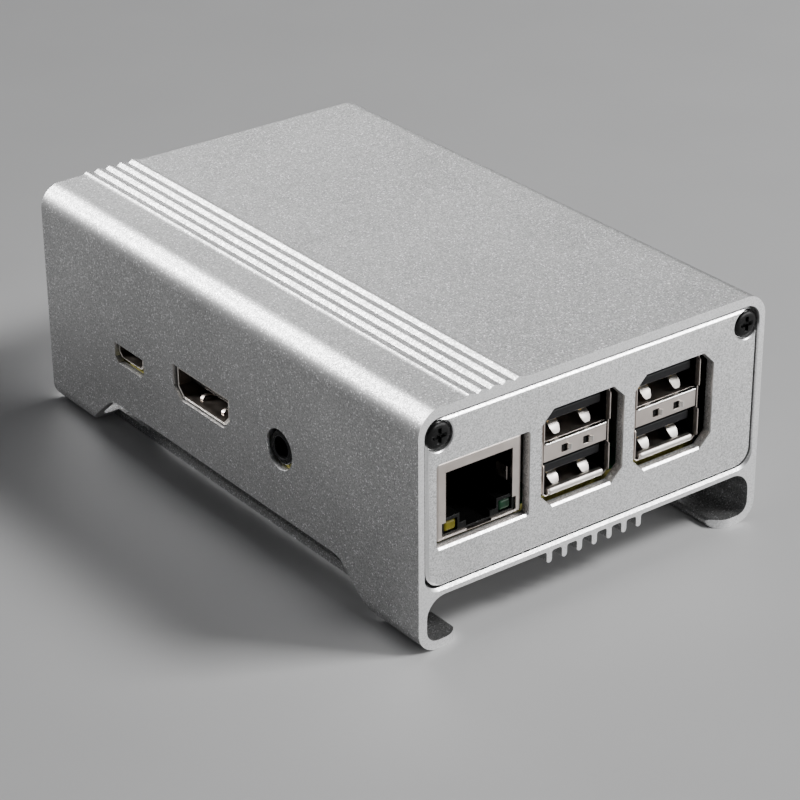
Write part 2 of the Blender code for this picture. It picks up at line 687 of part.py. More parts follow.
def build_av_jack():
    y = board_y(AV_X_BOARD)
    face = SIDE_SOCKET_FACE_X
    body_start = face + AV_BARREL_LENGTH
    low = PART_Z
    half = AV_BODY_WIDTH / 2
    body = block(
        "av_jack", PART, (body_start, body_start + AV_BODY_LENGTH), (y - half, y + half),
        (low, low + AV_BODY_HEIGHT)
    )
    paint(body, PLASTIC)
    middle = low + AV_BARREL_DIAMETER / 2
    weld_on(body, circle(y, middle, AV_BARREL_DIAMETER), "X", face, body_start + GAP)
    cut(body, circle(y, middle, AV_BORE), "X", face - OVERCUT, face + AV_BORE_DEPTH)


# ---- parts on the board ---------------------------------------------------

def build_pin_header():
    x = board_x(HEADER_Y_BOARD)
    y = board_y(HEADER_X_BOARD)
    length = HEADER_PINS * HEADER_PITCH / 2
    base = block(
        "gpio_header", PART, (x - HEADER_PITCH, x + HEADER_PITCH), (y - length, y + length),
        (PART_Z, PART_Z + HEADER_BASE_HEIGHT)
    )
    paint(base, PLASTIC)
    bm = bmesh.new()
    side = HEADER_PIN_SIDE / 2
    for column in (-0.5, 0.5):
        for row in range(HEADER_PINS):
            pin_x = x + column * HEADER_PITCH
            pin_y = y + (row - (HEADER_PINS - 1) / 2) * HEADER_PITCH
            outline = rectangle(pin_x - side, pin_x + side, pin_y - side, pin_y + side)
            add_prism(bm, outline, "Z", PART_Z + GAP, BOARD_TOP_Z + HEADER_PIN_TOP)
    pins = finish_mesh(bm, "gpio_pins_add", CUTTERS)
    combine(base, pins, "UNION")


def build_flex_socket(label, along, across):
    """A ribbon cable socket and the latch that pulls up to free the ribbon."""
    x = board_x(across)
    y = board_y(along)
    half_length = FLEX_LENGTH / 2
    half_depth = FLEX_DEPTH / 2
    top = PART_Z + FLEX_HEIGHT
    body = block(
        label + "_socket", PART, (x - half_length + LATCH_LEG_WIDTH + FINE_GAP, x + half_length - LATCH_LEG_WIDTH - FINE_GAP),
        (y - half_depth, y + half_depth), (PART_Z, top)
    )
    paint(body, CREAM)
    slot = FLEX_SLOT_LENGTH / 2
    slot_y = y - half_depth / 2
    wide = FLEX_SLOT_WIDTH / 2
    cut(body, rectangle(x - slot, x + slot, slot_y - wide, slot_y + wide), "Z", top - FLEX_SLOT_DEPTH, top + OVERCUT)
    low = top + FINE_GAP
    origin = (x, y, low)
    latch = block(
        label + "_latch", PART, (x - half_length, x + half_length), (y - half_depth, y + half_depth),
        (low, low + LATCH_HEIGHT), origin
    )
    paint(latch, DARK)
    cut(latch, rectangle(x - slot, x + slot, slot_y - wide, slot_y + wide), "Z", low - OVERCUT, low + LATCH_HEIGHT + OVERCUT)
    leg = LATCH_LEG_DEPTH / 2
    for sign in (-1, 1):
        outer = x + sign * half_length
        inner = outer - sign * LATCH_LEG_WIDTH
        weld_on(latch, rectangle(min(outer, inner), max(outer, inner), y - leg, y + leg), "Z", low - LATCH_LEG_HEIGHT, low + GAP)


def build_card():
    x = board_x(CARD_Y_BOARD)
    under = BOARD_TOP_Z - BOARD_THICKNESS - FINE_GAP
    socket_low = under - CARD_SOCKET_HEIGHT
    edge = board_y(0) - GAP
    half = CARD_SOCKET_WIDTH / 2
    socket = block(
        "microsd_socket", PART, (x - half, x + half), (edge - CARD_SOCKET_LENGTH, edge), (socket_low, under)
    )
    paint(socket, STEEL)
    card_half = CARD_WIDTH / 2
    card_low = socket_low + CARD_SOCKET_WALL + FINE_GAP
    room = FINE_GAP
    cut(
        socket, rectangle(x - card_half - room, x + card_half + room, card_low - room, card_low + CARD_THICKNESS + room),
        "Y", edge - CARD_SOCKET_LENGTH + CARD_SOCKET_WALL * 2, edge + OVERCUT
    )
    card_end = board_y(0) + CARD_OVERHANG
    card_start = card_end - CARD_LENGTH
    narrow = card_half - CARD_EAR_WIDTH
    neck = card_start + CARD_NARROW_LENGTH
    outline = [
        (x - card_half, card_end), (x - card_half, card_start + GAP), (x - card_half + GAP, card_start),
        (x + narrow, card_start), (x + narrow, neck), (x + card_half, neck + CARD_EAR_WIDTH), (x + card_half, card_end)
    ]
    card = prism("microsd_card", PART, outline, "Z", card_low, card_low + CARD_THICKNESS, (x, card_end, card_low))
    paint(card, DARK)


def build_chip(name, along, across, length, width, height, material, below=False):
    """A flat part on the board: length runs along the board, width across it."""
    x = board_x(across)
    y = board_y(along)
    low = PART_Z
    if below:
        low = BOARD_TOP_Z - BOARD_THICKNESS - FINE_GAP - height
    chip = block(name, PART, (x - width / 2, x + width / 2), (y - length / 2, y + length / 2), (low, low + height))
    paint(chip, material)
    return low


def build_capacitor(name, along, across, diameter, height):
    x = board_x(across)
    y = board_y(along)
    can = prism(name, PART, circle(x, y, diameter, 20), "Z", PART_Z, PART_Z + height)
    paint(can, STEEL)


def build_board_parts():
    build_chip("processor_chip", 26.0 * MM, 32.5 * MM, 14.0 * MM, 14.0 * MM, 1.3 * MM, STEEL)
    build_chip("usb_network_chip", 57.5 * MM, 31.0 * MM, 9.0 * MM, 9.0 * MM, 0.9 * MM, DARK)
    build_chip("power_chip", 20.0 * MM, 16.0 * MM, 5.0 * MM, 5.0 * MM, 0.9 * MM, DARK)
    build_chip("wireless_module", 8.0 * MM, 44.6 * MM, 7.0 * MM, 5.0 * MM, 1.0 * MM, STEEL)
    build_chip("crystal_can", 66.0 * MM, 31.0 * MM, 3.2 * MM, 5.0 * MM, 1.0 * MM, STEEL)
    build_chip("power_inductor", 17.0 * MM, 8.0 * MM, 4.0 * MM, 4.0 * MM, 2.0 * MM, DARK)
    build_chip("input_fuse", 13.0 * MM, 15.2 * MM, 3.2 * MM, 4.4 * MM, 0.8 * MM, GREEN_LIGHT)
    build_chip("power_light", 3.2 * MM, 9.5 * MM, 1.6 * MM, 0.8 * MM, 0.6 * MM, RED_LIGHT)
    build_chip("activity_light", 3.2 * MM, 12.0 * MM, 1.6 * MM, 0.8 * MM, 0.6 * MM, GREEN_LIGHT)
    build_capacitor("supply_capacitor", 47.5 * MM, 29.0 * MM, 6.3 * MM, 5.4 * MM)
    memory_low = build_chip("memory_chip", 26.0 * MM, 32.5 * MM, 11.0 * MM, 11.5 * MM, 1.0 * MM, DARK, True)
    pad_low = FLOOR_TOP_Z + GAP + TRAY_THICKNESS + FINE_GAP
    x = board_x(32.5 * MM)
    y = board_y(26.0 * MM)
    side = 6.0 * MM
    pad = block("thermal_pad", PART, (x - side, x + side), (y - side, y + side), (pad_low, memory_low - FINE_GAP))
    paint(pad, PAD)


clear_scene()
PART = make_collection("Single board computer")
CUTTERS = make_collection("Cutters")
METAL = make_material("anodised_case", METAL_COLOUR, 0.38, 1.0)
PLATE = make_material("anodised_plate", PLATE_COLOUR, 0.35, 1.0)
SCREW = make_material("black_screw", BLACK_COLOUR, 0.35, 0.6)
STEEL = make_material("tinned_steel", STEEL_COLOUR, 0.28, 1.0)
NICKEL = make_material("nickel_shield", NICKEL_COLOUR, 0.3, 1.0)
BRASS = make_material("brass_standoff", GOLD_COLOUR, 0.35, 1.0)
TRAY = make_material("tray_aluminium", METAL_COLOUR, 0.4, 1.0)
PLASTIC = make_material("black_plastic", BLACK_COLOUR, 0.45, 0.0)
DARK = make_material("dark_chip", (0.02, 0.02, 0.022), 0.5, 0.0)
CREAM = make_material("cream_plastic", (0.72, 0.66, 0.52), 0.5, 0.0)
BOARD = make_material("green_board", BOARD_COLOUR, 0.35, 0.0)
PAD = make_material("thermal_rubber", (0.35, 0.42, 0.5), 0.7, 0.0)
YELLOW_LIGHT = make_material("yellow_lens", (0.75, 0.6, 0.05), 0.3, 0.0)
GREEN_LIGHT = make_material("green_lens", (0.08, 0.45, 0.12), 0.3, 0.0)
RED_LIGHT = make_material("red_lens", (0.6, 0.03, 0.03), 0.3, 0.0)

build_case()
build_front_plate()
build_end_plate("rear_plate", REAR_Y, -1)
build_plate_screw("front_plate_screw_left", -CHANNEL_X, FRONT_Y, 1)
build_plate_screw("front_plate_screw_right", CHANNEL_X, FRONT_Y, 1)
build_plate_screw("rear_plate_screw_left", -CHANNEL_X, REAR_Y, -1)
build_plate_screw("rear_plate_screw_right", CHANNEL_X, REAR_Y, -1)
build_board()
build_tray()
build_board_fixings()
build_network_jack()
build_usb_stack("left", USB_FIRST_Y_BOARD)
build_usb_stack("right", USB_SECOND_Y_BOARD)
build_side_socket(
    "hdmi", HDMI_X_BOARD, HDMI_WIDTH, HDMI_HEIGHT, HDMI_LENGTH, HDMI_WALL, HDMI_CHAMFER,
    HDMI_PORT_DEPTH, HDMI_TONGUE_WIDTH, HDMI_TONGUE_HEIGHT
)
build_side_socket(
    "micro_usb", MICRO_X_BOARD, MICRO_WIDTH, MICRO_HEIGHT, MICRO_LENGTH, MICRO_WALL, MICRO_CHAMFER,
    MICRO_PORT_DEPTH, MICRO_TONGUE_WIDTH, MICRO_TONGUE_HEIGHT
)
build_av_jack()
build_pin_header()
build_flex_socket("display_cable", DISPLAY_FLEX_X_BOARD, DISPLAY_FLEX_Y_BOARD)
build_flex_socket("camera_cable", CAMERA_FLEX_X_BOARD, CAMERA_FLEX_Y_BOARD)
build_card()
build_board_parts()
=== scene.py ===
"""Looks for the single board computer in its aluminium case. Metres, the CAD's own frame."""
import math

import bmesh
import bpy
from mathutils import Matrix, Vector


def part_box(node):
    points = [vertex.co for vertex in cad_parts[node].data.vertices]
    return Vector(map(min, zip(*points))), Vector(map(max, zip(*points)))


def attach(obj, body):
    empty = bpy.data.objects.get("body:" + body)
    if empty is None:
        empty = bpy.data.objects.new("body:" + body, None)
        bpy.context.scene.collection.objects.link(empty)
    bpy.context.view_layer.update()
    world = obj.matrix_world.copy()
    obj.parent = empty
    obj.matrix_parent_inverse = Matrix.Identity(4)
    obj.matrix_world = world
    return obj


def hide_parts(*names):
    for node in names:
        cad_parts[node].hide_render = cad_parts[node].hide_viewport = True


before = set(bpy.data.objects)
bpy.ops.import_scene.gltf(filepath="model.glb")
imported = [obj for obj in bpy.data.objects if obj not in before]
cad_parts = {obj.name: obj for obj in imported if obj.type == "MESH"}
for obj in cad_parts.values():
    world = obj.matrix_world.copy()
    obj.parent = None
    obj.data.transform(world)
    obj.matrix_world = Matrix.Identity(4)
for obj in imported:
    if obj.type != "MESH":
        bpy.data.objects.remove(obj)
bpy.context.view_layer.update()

MM = 0.001
GAP = 0.3 * MM
GRAIN = 5600.0


def corners(node):
    """Lowest and highest corner of a CAD node as two vectors."""
    low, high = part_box(node)
    return Vector(low), Vector(high)


# ---------------------------------------------------------------- mesh helpers

def arc(centre_a, centre_b, radius, start, end, steps):
    points = []
    for step in range(steps + 1):
        angle = math.radians(start + (end - start) * step / steps)
        points.append((centre_a + radius * math.cos(angle), centre_b + radius * math.sin(angle)))
    return points


def circle(centre_a, centre_b, diameter, steps=48):
    return arc(centre_a, centre_b, diameter / 2, 0, 360, steps)[:-1]


def rectangle(left, right, low, high):
    return [(left, low), (right, low), (right, high), (left, high)]


def rounded_rectangle(left, right, low, high, radius, steps=8):
    points = arc(right - radius, high - radius, radius, 0, 90, steps)
    points += arc(left + radius, high - radius, radius, 90, 180, steps)
    points += arc(left + radius, low + radius, radius, 180, 270, steps)
    points += arc(right - radius, low + radius, radius, 270, 360, steps)
    return points


def chamfered(centre, middle, width, height, top, bottom):
    left = centre - width / 2
    right = centre + width / 2
    low = middle - height / 2
    high = middle + height / 2
    points = [(left + bottom, low), (right - bottom, low), (right, low + bottom)]
    if top > 0:
        points += [(right, high - top), (right - top, high), (left + top, high), (left, high - top)]
    else:
        points += [(right, high), (left, high)]
    points.append((left, low + bottom))
    return points


def place(axis, point, depth):
    first, second = point
    if axis == "X":
        return (depth, first, second)
    if axis == "Y":
        return (first, depth, second)
    return (first, second, depth)


def add_loft(bm, rings):
    """Skins closed rings of equal length, capped at both ends."""
    loops = [[bm.verts.new(point) for point in ring] for ring in rings]
    bm.faces.new(loops[0])
    bm.faces.new(list(reversed(loops[-1])))
    count = len(loops[0])
    for near, far in zip(loops, loops[1:]):
        for index in range(count):
            after = (index + 1) % count
            bm.faces.new((near[index], far[index], far[after], near[after]))


def add_prism(bm, outline, axis, start, end):
    add_loft(bm, [[place(axis, point, depth) for point in outline] for depth in (start, end)])


def make_object(bm, name):
    bmesh.ops.recalc_face_normals(bm, faces=bm.faces)
    mesh = bpy.data.meshes.new(name)
    bm.to_mesh(mesh)
    bm.free()
    made = bpy.data.objects.new(name, mesh)
    bpy.context.scene.collection.objects.link(made)
    return made


def prism(name, outline, axis, start, end):
    bm = bmesh.new()
    add_prism(bm, outline, axis, start, end)
    return make_object(bm, name)


def apply_modifiers(target):
    bpy.context.view_layer.update()
    graph = bpy.context.evaluated_depsgraph_get()
    made = bpy.data.meshes.new_from_object(target.evaluated_get(graph))
    made.name = target.name
    old = target.data
    target.modifiers.clear()
    target.data = made
    bpy.data.meshes.remove(old)


def boolean(target, tools, operation="DIFFERENCE"):
    """Cuts each tool from the target, or joins it on, and removes the tools."""
    for tool in tools:
        modifier = target.modifiers.new("Boolean", "BOOLEAN")
        modifier.operation = operation
        modifier.solver = "EXACT"
        modifier.object = tool
    apply_modifiers(target)
    for tool in tools:
        bpy.data.objects.remove(tool)


def bevel(target, width, segments=2, angle=35):
    modifier = target.modifiers.new("Bevel", "BEVEL")
    modifier.width = width
    modifier.segments = segments
    modifier.limit_method = "ANGLE"
    modifier.angle_limit = math.radians(angle)
    apply_modifiers(target)


def shade(target, angle=30):
    """Smooth shading that keeps the edges sharper than the angle."""
    for polygon in target.data.polygons:
        polygon.use_smooth = True
    target.data.set_sharp_from_angle(angle=math.radians(angle))


def join(name, parts):
    """One object from several meshes, each keeping its own material."""
    bm = bmesh.new()
    made = bpy.data.meshes.new(name)
    slots = []
    for part in parts:
        offset = len(slots)
        slots += list(part.data.materials) or [None]
        start = len(bm.faces)
        bm.from_mesh(part.data)
        bm.faces.ensure_lookup_table()
        for face in bm.faces[start:]:
            face.material_index += offset
    bm.to_mesh(made)
    bm.free()
    for material in slots:
        made.materials.append(material)
    whole = bpy.data.objects.new(name, made)
    bpy.context.scene.collection.objects.link(whole)
    for part in parts:
        bpy.data.objects.remove(part)
    return whole


def coat(target, material):
    target.data.materials.clear()
    target.data.materials.append(material)
    return target


def coat_facing(target, material, axis, lowest, highest=1.01):
    """Gives a second material to the faces whose normal has a share of the axis between two limits."""
    target.data.materials.append(material)
    index = len(target.data.materials) - 1
    for polygon in target.data.polygons:
        if lowest < abs(polygon.normal[axis]) < highest:
            polygon.material_index = index


def dress(piece, body, nodes=()):
    """Hangs the piece on the body it rides on and hides the CAD nodes it stands for."""
    normals = piece.modifiers.new("Normals", "WEIGHTED_NORMAL")
    normals.keep_sharp = True
    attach(piece, body)
    if nodes:
        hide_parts(*nodes)


def soft_block(name, low, high, radius, material, segments=2):
    """A block with rounded edges between two corners."""
    block = prism(name, rectangle(low[0], high[0], low[1], high[1]), "Z", low[2], high[2])
    bevel(block, radius, segments)
    shade(block)
    return coat(block, material)


def strip(name, path, width, thickness, centre_x, material, round_end=True):
    """A bent metal strip: path holds (y, z) along its middle, width lies along X."""
    bm = bmesh.new()
    rings = []
    count = len(path)
    for index, (y, z) in enumerate(path):
        before = Vector(path[max(index - 1, 0)])
        after = Vector(path[min(index + 1, count - 1)])
        along = (after - before).normalized()
        normal = Vector((-along.y, along.x)) * thickness / 2
        half = width / 2
        if round_end:
            travelled = (Vector(path[index]) - Vector(path[0])).length
            if travelled < half:
                half *= max(0.45, math.sqrt(max(0.0, 1 - (1 - travelled / half) ** 2)))
        rings.append([
            (centre_x - half, y + normal.x, z + normal.y), (centre_x + half, y + normal.x, z + normal.y),
            (centre_x + half, y - normal.x, z - normal.y), (centre_x - half, y - normal.x, z - normal.y),
        ])
    add_loft(bm, rings)
    made = make_object(bm, name)
    shade(made, 50)
    return coat(made, material)


# ---------------------------------------------------------------- materials

def new_material(name):
    material = bpy.data.materials.new(name)
    material.use_nodes = True
    nodes = material.node_tree.nodes
    return material, nodes, material.node_tree.links, nodes["Principled BSDF"]


def object_coordinates(nodes):
    return nodes.new("ShaderNodeTexCoord").outputs["Object"]


def noise(nodes, links, coordinates, scale, detail=2.0, roughness=0.5):
    made = nodes.new("ShaderNodeTexNoise")
    made.inputs["Scale"].default_value = scale
    made.inputs["Detail"].default_value = detail
    made.inputs["Roughness"].default_value = roughness
    links.new(coordinates, made.inputs["Vector"])
    return made.outputs["Fac"]


def ramp(nodes, links, value, stops):
    made = nodes.new("ShaderNodeValToRGB")
    elements = made.color_ramp.elements
    while len(elements) < len(stops):
        elements.new(0.5)
    for element, (position, colour) in zip(elements, stops):
        element.position = position
        element.color = (*colour, 1.0) if isinstance(colour, tuple) else (colour, colour, colour, 1.0)
    links.new(value, made.inputs["Fac"])
    return made.outputs["Color"]


def bump(nodes, links, shader, height, strength, distance, before=None):
    made = nodes.new("ShaderNodeBump")
    made.inputs["Strength"].default_value = strength
    made.inputs["Distance"].default_value = distance
    links.new(height, made.inputs["Height"])
    if before is not None:
        links.new(before, made.inputs["Normal"])
    links.new(made.outputs["Normal"], shader.inputs["Normal"])
    return made.outputs["Normal"]


def mix_colour(nodes, links, factor, first, second, mode="MIX"):
    made = nodes.new("ShaderNodeMix")
    made.data_type = "RGBA"
    made.blend_type = mode
    if isinstance(factor, float):
        made.inputs[0].default_value = factor
    else:
        links.new(factor, made.inputs[0])
    for socket, value in ((6, first), (7, second)):
        if isinstance(value, tuple):
            made.inputs[socket].default_value = (*value, 1.0)
        else:
            links.new(value, made.inputs[socket])
    return made.outputs[2]


def blasted_metal(name, dark, light, rough, cell, grain_depth):
    """Bead-blasted anodised aluminium: every facet catches the light a little differently, and a few random facets
    carry a painted glint, a near-white base colour.
    """
    material, nodes, links, shader = new_material(name)
    shader.inputs["Metallic"].default_value = 1.0
    where = object_coordinates(nodes)
    cloud = noise(nodes, links, where, 60.0, 3.0)
    fine = noise(nodes, links, where, cell, 2.0, 0.7)
    facets = nodes.new("ShaderNodeTexVoronoi")
    facets.inputs["Scale"].default_value = cell
    links.new(where, facets.inputs["Vector"])
    split = nodes.new("ShaderNodeSeparateColor")
    links.new(facets.outputs["Color"], split.inputs["Color"])
    grain = mix_colour(nodes, links, 0.45, fine, split.outputs["Red"])
    tone = mix_colour(nodes, links, 0.8, cloud, grain)
    base = ramp(nodes, links, tone, [(0.28, dark), (0.72, light)])
    # painted glint: the rarest facets get a near-white base colour in place of sparkle from the lamps
    painted_glint = ramp(nodes, links, split.outputs["Green"], [(0.90, 0.0), (0.97, 1.0)])
    links.new(mix_colour(nodes, links, painted_glint, base, (0.92, 0.92, 0.93)), shader.inputs["Base Color"])
    links.new(ramp(nodes, links, grain, [(0.3, rough + 0.07), (0.7, rough - 0.07)]), shader.inputs["Roughness"])
    first = bump(nodes, links, shader, fine, 0.6, grain_depth)
    bump(nodes, links, shader, split.outputs["Blue"], 0.22, grain_depth, first)
    return material


def sheet_metal(name, dark, light, rough, stretch=(1.0, 1.0, 1.0), scale=700.0, depth=0.004 * MM):
    """Rolled plated sheet: faint streaks, smudges and soft dents."""
    material, nodes, links, shader = new_material(name)
    shader.inputs["Metallic"].default_value = 1.0
    where = object_coordinates(nodes)
    mapping = nodes.new("ShaderNodeMapping")
    mapping.inputs["Scale"].default_value = stretch
    links.new(where, mapping.inputs["Vector"])
    streak = noise(nodes, links, mapping.outputs["Vector"], scale, 3.0)
    smudge = noise(nodes, links, where, 260.0, 2.0)
    links.new(ramp(nodes, links, smudge, [(0.3, dark), (0.7, light)]), shader.inputs["Base Color"])
    links.new(ramp(nodes, links, streak, [(0.3, rough + 0.08), (0.7, rough - 0.06)]), shader.inputs["Roughness"])
    bump(nodes, links, shader, streak, 0.4, depth)
    return material


def moulded_plastic(name, dark, light, rough, depth=0.01 * MM, scale=1500.0, gloss=0.35):
    """Spark-eroded moulding with a fine pebble and slight tone change."""
    material, nodes, links, shader = new_material(name)
    where = object_coordinates(nodes)
    pebble = noise(nodes, links, where, scale, 2.0)
    cloud = noise(nodes, links, where, 160.0, 2.0)
    links.new(ramp(nodes, links, cloud, [(0.3, dark), (0.7, light)]), shader.inputs["Base Color"])
    links.new(ramp(nodes, links, pebble, [(0.3, rough + 0.08), (0.7, rough - 0.05)]), shader.inputs["Roughness"])
    shader.inputs["Specular IOR Level"].default_value = gloss
    bump(nodes, links, shader, pebble, 0.5, depth)
    return material


def lens_plastic(name, dark, light):
    """Tinted clear light pipe."""
    material, nodes, links, shader = new_material(name)
    where = object_coordinates(nodes)
    cloud = noise(nodes, links, where, 420.0, 2.0)
    links.new(ramp(nodes, links, cloud, [(0.35, dark), (0.65, light)]), shader.inputs["Base Color"])
    shader.inputs["Roughness"].default_value = 0.30
    shader.inputs["Specular IOR Level"].default_value = 0.25
    bump(nodes, links, shader, cloud, 0.2, 0.01 * MM)
    return material


def laminate(name):
    """Circuit board: green mask with tracks, vias and pale pads on the faces, bare fibre on the edges, painted lighter
    than the fibre's own tone to make up for the shade on them.
    """
    material, nodes, links, shader = new_material(name)
    where = object_coordinates(nodes)
    brick = nodes.new("ShaderNodeTexBrick")
    brick.inputs["Scale"].default_value = 420.0
    brick.inputs["Mortar Size"].default_value = 0.12
    brick.inputs["Color1"].default_value = (0.010, 0.085, 0.035, 1.0)
    brick.inputs["Color2"].default_value = (0.014, 0.115, 0.045, 1.0)
    brick.inputs["Mortar"].default_value = (0.006, 0.05, 0.022, 1.0)
    links.new(where, brick.inputs["Vector"])
    dots = nodes.new("ShaderNodeTexVoronoi")
    dots.inputs["Scale"].default_value = 420.0
    links.new(where, dots.inputs["Vector"])
    via = ramp(nodes, links, dots.outputs["Distance"], [(0.12, 1.0), (0.16, 0.0)])
    mask = mix_colour(nodes, links, via, brick.outputs["Color"], (0.42, 0.40, 0.28))
    weave = noise(nodes, links, where, 1800.0, 2.0)
    # bare fibre tone, painted lighter to stand in for light on the shaded board edge
    edge = ramp(nodes, links, weave, [(0.35, (0.40, 0.36, 0.09)), (0.65, (0.60, 0.55, 0.16))])
    geometry = nodes.new("ShaderNodeNewGeometry")
    split = nodes.new("ShaderNodeSeparateXYZ")
    links.new(geometry.outputs["Normal"], split.inputs["Vector"])
    flat = nodes.new("ShaderNodeMath")
    flat.operation = "ABSOLUTE"
    links.new(split.outputs["Z"], flat.inputs[0])
    facing = ramp(nodes, links, flat.outputs[0], [(0.45, 0.0), (0.55, 1.0)])
    links.new(mix_colour(nodes, links, facing, edge, mask), shader.inputs["Base Color"])
    links.new(ramp(nodes, links, facing, [(0.0, 0.75), (1.0, 0.28)]), shader.inputs["Roughness"])
    bump(nodes, links, shader, brick.outputs["Fac"], 0.3, 0.02 * MM)
    return material


CASE = blasted_metal("case anodised", 0.27, 0.57, 0.46, GRAIN, 0.016 * MM)
# painted light: a much lighter copy of the case metal for the faces at the two ends, standing in for the light they
# catch
RIM_PAINTED_LIGHT = blasted_metal("end rim painted light", 0.70, 0.96, 0.44, GRAIN, 0.008 * MM)
# anodised plate metal with its own grain, painted lighter than the case metal to stand in for the front light
PLATE_PAINTED_LIGHTER = blasted_metal("plate anodised painted lighter", 0.44, 0.90, 0.50, GRAIN, 0.02 * MM)
# painted highlight: near-white copy of the metal for the plates' chamfers and rounded edges
CHAMFER_PAINTED_HIGHLIGHT = blasted_metal("chamfer painted highlight", 0.84, 0.98, 0.36, GRAIN, 0.004 * MM)
TRAY = sheet_metal("tray mill finish", 0.50, 0.62, 0.32, (1.0, 0.04, 1.0))
TIN = sheet_metal("tin plate", (0.60, 0.59, 0.57), (0.74, 0.73, 0.71), 0.24)
NICKEL = sheet_metal("warm nickel plate", (0.56, 0.50, 0.46), (0.66, 0.60, 0.555), 0.33)
# painted shade: a darkened copy of the nickel for the side sockets' shells
SHADED = sheet_metal("nickel painted in shade", (0.30, 0.26, 0.23), (0.42, 0.37, 0.33), 0.36)
# rougher satin finish, with its base colour painted lighter than the nickel to stand in for light on the socket rims
SATIN_PAINTED_LIGHT = sheet_metal("satin steel painted light", (0.70, 0.66, 0.61), (0.84, 0.80, 0.75), 0.48)
SPRING = sheet_metal("spring steel", (0.60, 0.57, 0.53), (0.76, 0.72, 0.68), 0.38)
GOLD = sheet_metal("gold contact", (0.62, 0.42, 0.12), (0.78, 0.56, 0.2), 0.25)
BRASS = sheet_metal("turned brass", (0.55, 0.40, 0.16), (0.68, 0.52, 0.24), 0.28)
OXIDE = moulded_plastic("black oxide screw", 0.002, 0.005, 0.24, 0.004 * MM, 900.0, 0.22)
PLASTIC = moulded_plastic("black moulding", 0.002, 0.005, 0.25, 0.0006 * MM, 900.0, 0.18)
TONGUE = moulded_plastic("socket tongue", (0.004, 0.004, 0.005), (0.008, 0.008, 0.010), 0.40, 0.004 * MM, 1500.0, 0.25)
CHIP = moulded_plastic("chip resin", 0.018, 0.032, 0.5)
CREAM = moulded_plastic("cream moulding", (0.56, 0.50, 0.38), (0.66, 0.60, 0.47), 0.45)
PAD = moulded_plastic("thermal rubber", (0.24, 0.30, 0.37), (0.31, 0.37, 0.44), 0.75, 0.03 * MM, 700.0)
YELLOW = lens_plastic("yellow lens", (0.085, 0.072, 0.0005), (0.17, 0.145, 0.001))
GREEN = lens_plastic("green lens", (0.0008, 0.018, 0.006), (0.003, 0.055, 0.018))
RED = lens_plastic("red lens", (0.30, 0.01, 0.01), (0.45, 0.02, 0.02))
BOARD = laminate("green board")

# ---------------------------------------------------------------- places from the CAD

case_low, case_high = corners("case_body")
plate_low, plate_high = corners("front_plate")
FRONT_Y = case_low.y
REAR_Y = case_high.y
SIDE_X = case_high.x
RIDGE_HEIGHT = 0.45 * MM
RIDGE_START_X = -25.1 * MM
CASE_TOP_Z = case_high.z - RIDGE_HEIGHT
CASE_CORNER = 4.0 * MM
FOOT_RADIUS = 3.5 * MM
CAVITY_X = SIDE_X - 1.2 * MM
CAVITY_TOP_Z = CASE_TOP_Z - 1.7 * MM
CAVITY_CORNER = 2.7 * MM
BOSS_RADIUS = 2.6 * MM
FLOOR_UNDER_Z = 8.95 * MM
FLOOR_TOP_Z = 10.1 * MM
SCREW_X = 29.6 * MM
SCREW_Z = 35.1 * MM
PLATE_THICKNESS = plate_high.y - plate_low.y


def middle(node):
    low, high = corners(node)
    return (low + high) / 2


# ---------------------------------------------------------------- case

def mirrored(points):
    return [(-first, second) for first, second in reversed(points)]


def foot_outline():
    """Left wall from the top corner, round the curled foot and back up to the floor."""
    points = arc(-SIDE_X + CASE_CORNER, CASE_TOP_Z - CASE_CORNER, CASE_CORNER, 90, 180, 18)
    foot_x = -SIDE_X + FOOT_RADIUS
    points += arc(foot_x, FOOT_RADIUS, FOOT_RADIUS, 180, 270, 16)
    points += arc(-26.15 * MM, 0.75 * MM, 0.75 * MM, -90, 90, 12)
    points += arc(foot_x, FOOT_RADIUS, 2.0 * MM, 270, 180, 14)
    points += arc(foot_x - 2.0 * MM + 3.4 * MM, FLOOR_UNDER_Z - 3.4 * MM, 3.4 * MM, 180, 90, 16)
    return points


def fin_outline():
    points = []
    for index in range(7):
        centre = (index - 3) * 2.95 * MM
        points += arc(centre - 0.9 * MM, FLOOR_UNDER_Z - 0.4 * MM, 0.4 * MM, 90, 0, 4)
        points += arc(centre, 7.5 * MM, 0.5 * MM, 180, 360, 10)
        points += arc(centre + 0.9 * MM, FLOOR_UNDER_Z - 0.4 * MM, 0.4 * MM, 180, 90, 4)
    return points


def ridge_outline():
    """Five sawtooth ridges, right to left, each with a slightly rounded crest."""
    points = []
    pitch = 2.26 * MM
    crest_z = CASE_TOP_Z + RIDGE_HEIGHT
    for index in reversed(range(5)):
        start = RIDGE_START_X + index * pitch
        points.append((start + pitch, CASE_TOP_Z))
        points.append((start + 0.95 * MM, crest_z - 0.02 * MM))
        points.append((start + 0.79 * MM, crest_z))
        points.append((start + 0.63 * MM, crest_z - 0.07 * MM))
    points.append((RIDGE_START_X, CASE_TOP_Z))
    return points


def cavity_outline():
    """Inside of the tube, with the two screw bosses in its upper corners."""
    right = [(27.0 * MM, CAVITY_TOP_Z)]
    right += arc(SCREW_X, SCREW_Z, BOSS_RADIUS, 180, 270, 12)
    right.append((CAVITY_X, SCREW_Z - BOSS_RADIUS))
    right += arc(CAVITY_X - CAVITY_CORNER, FLOOR_TOP_Z + CAVITY_CORNER, CAVITY_CORNER, 0, -90, 10)
    return right + mirrored(right)


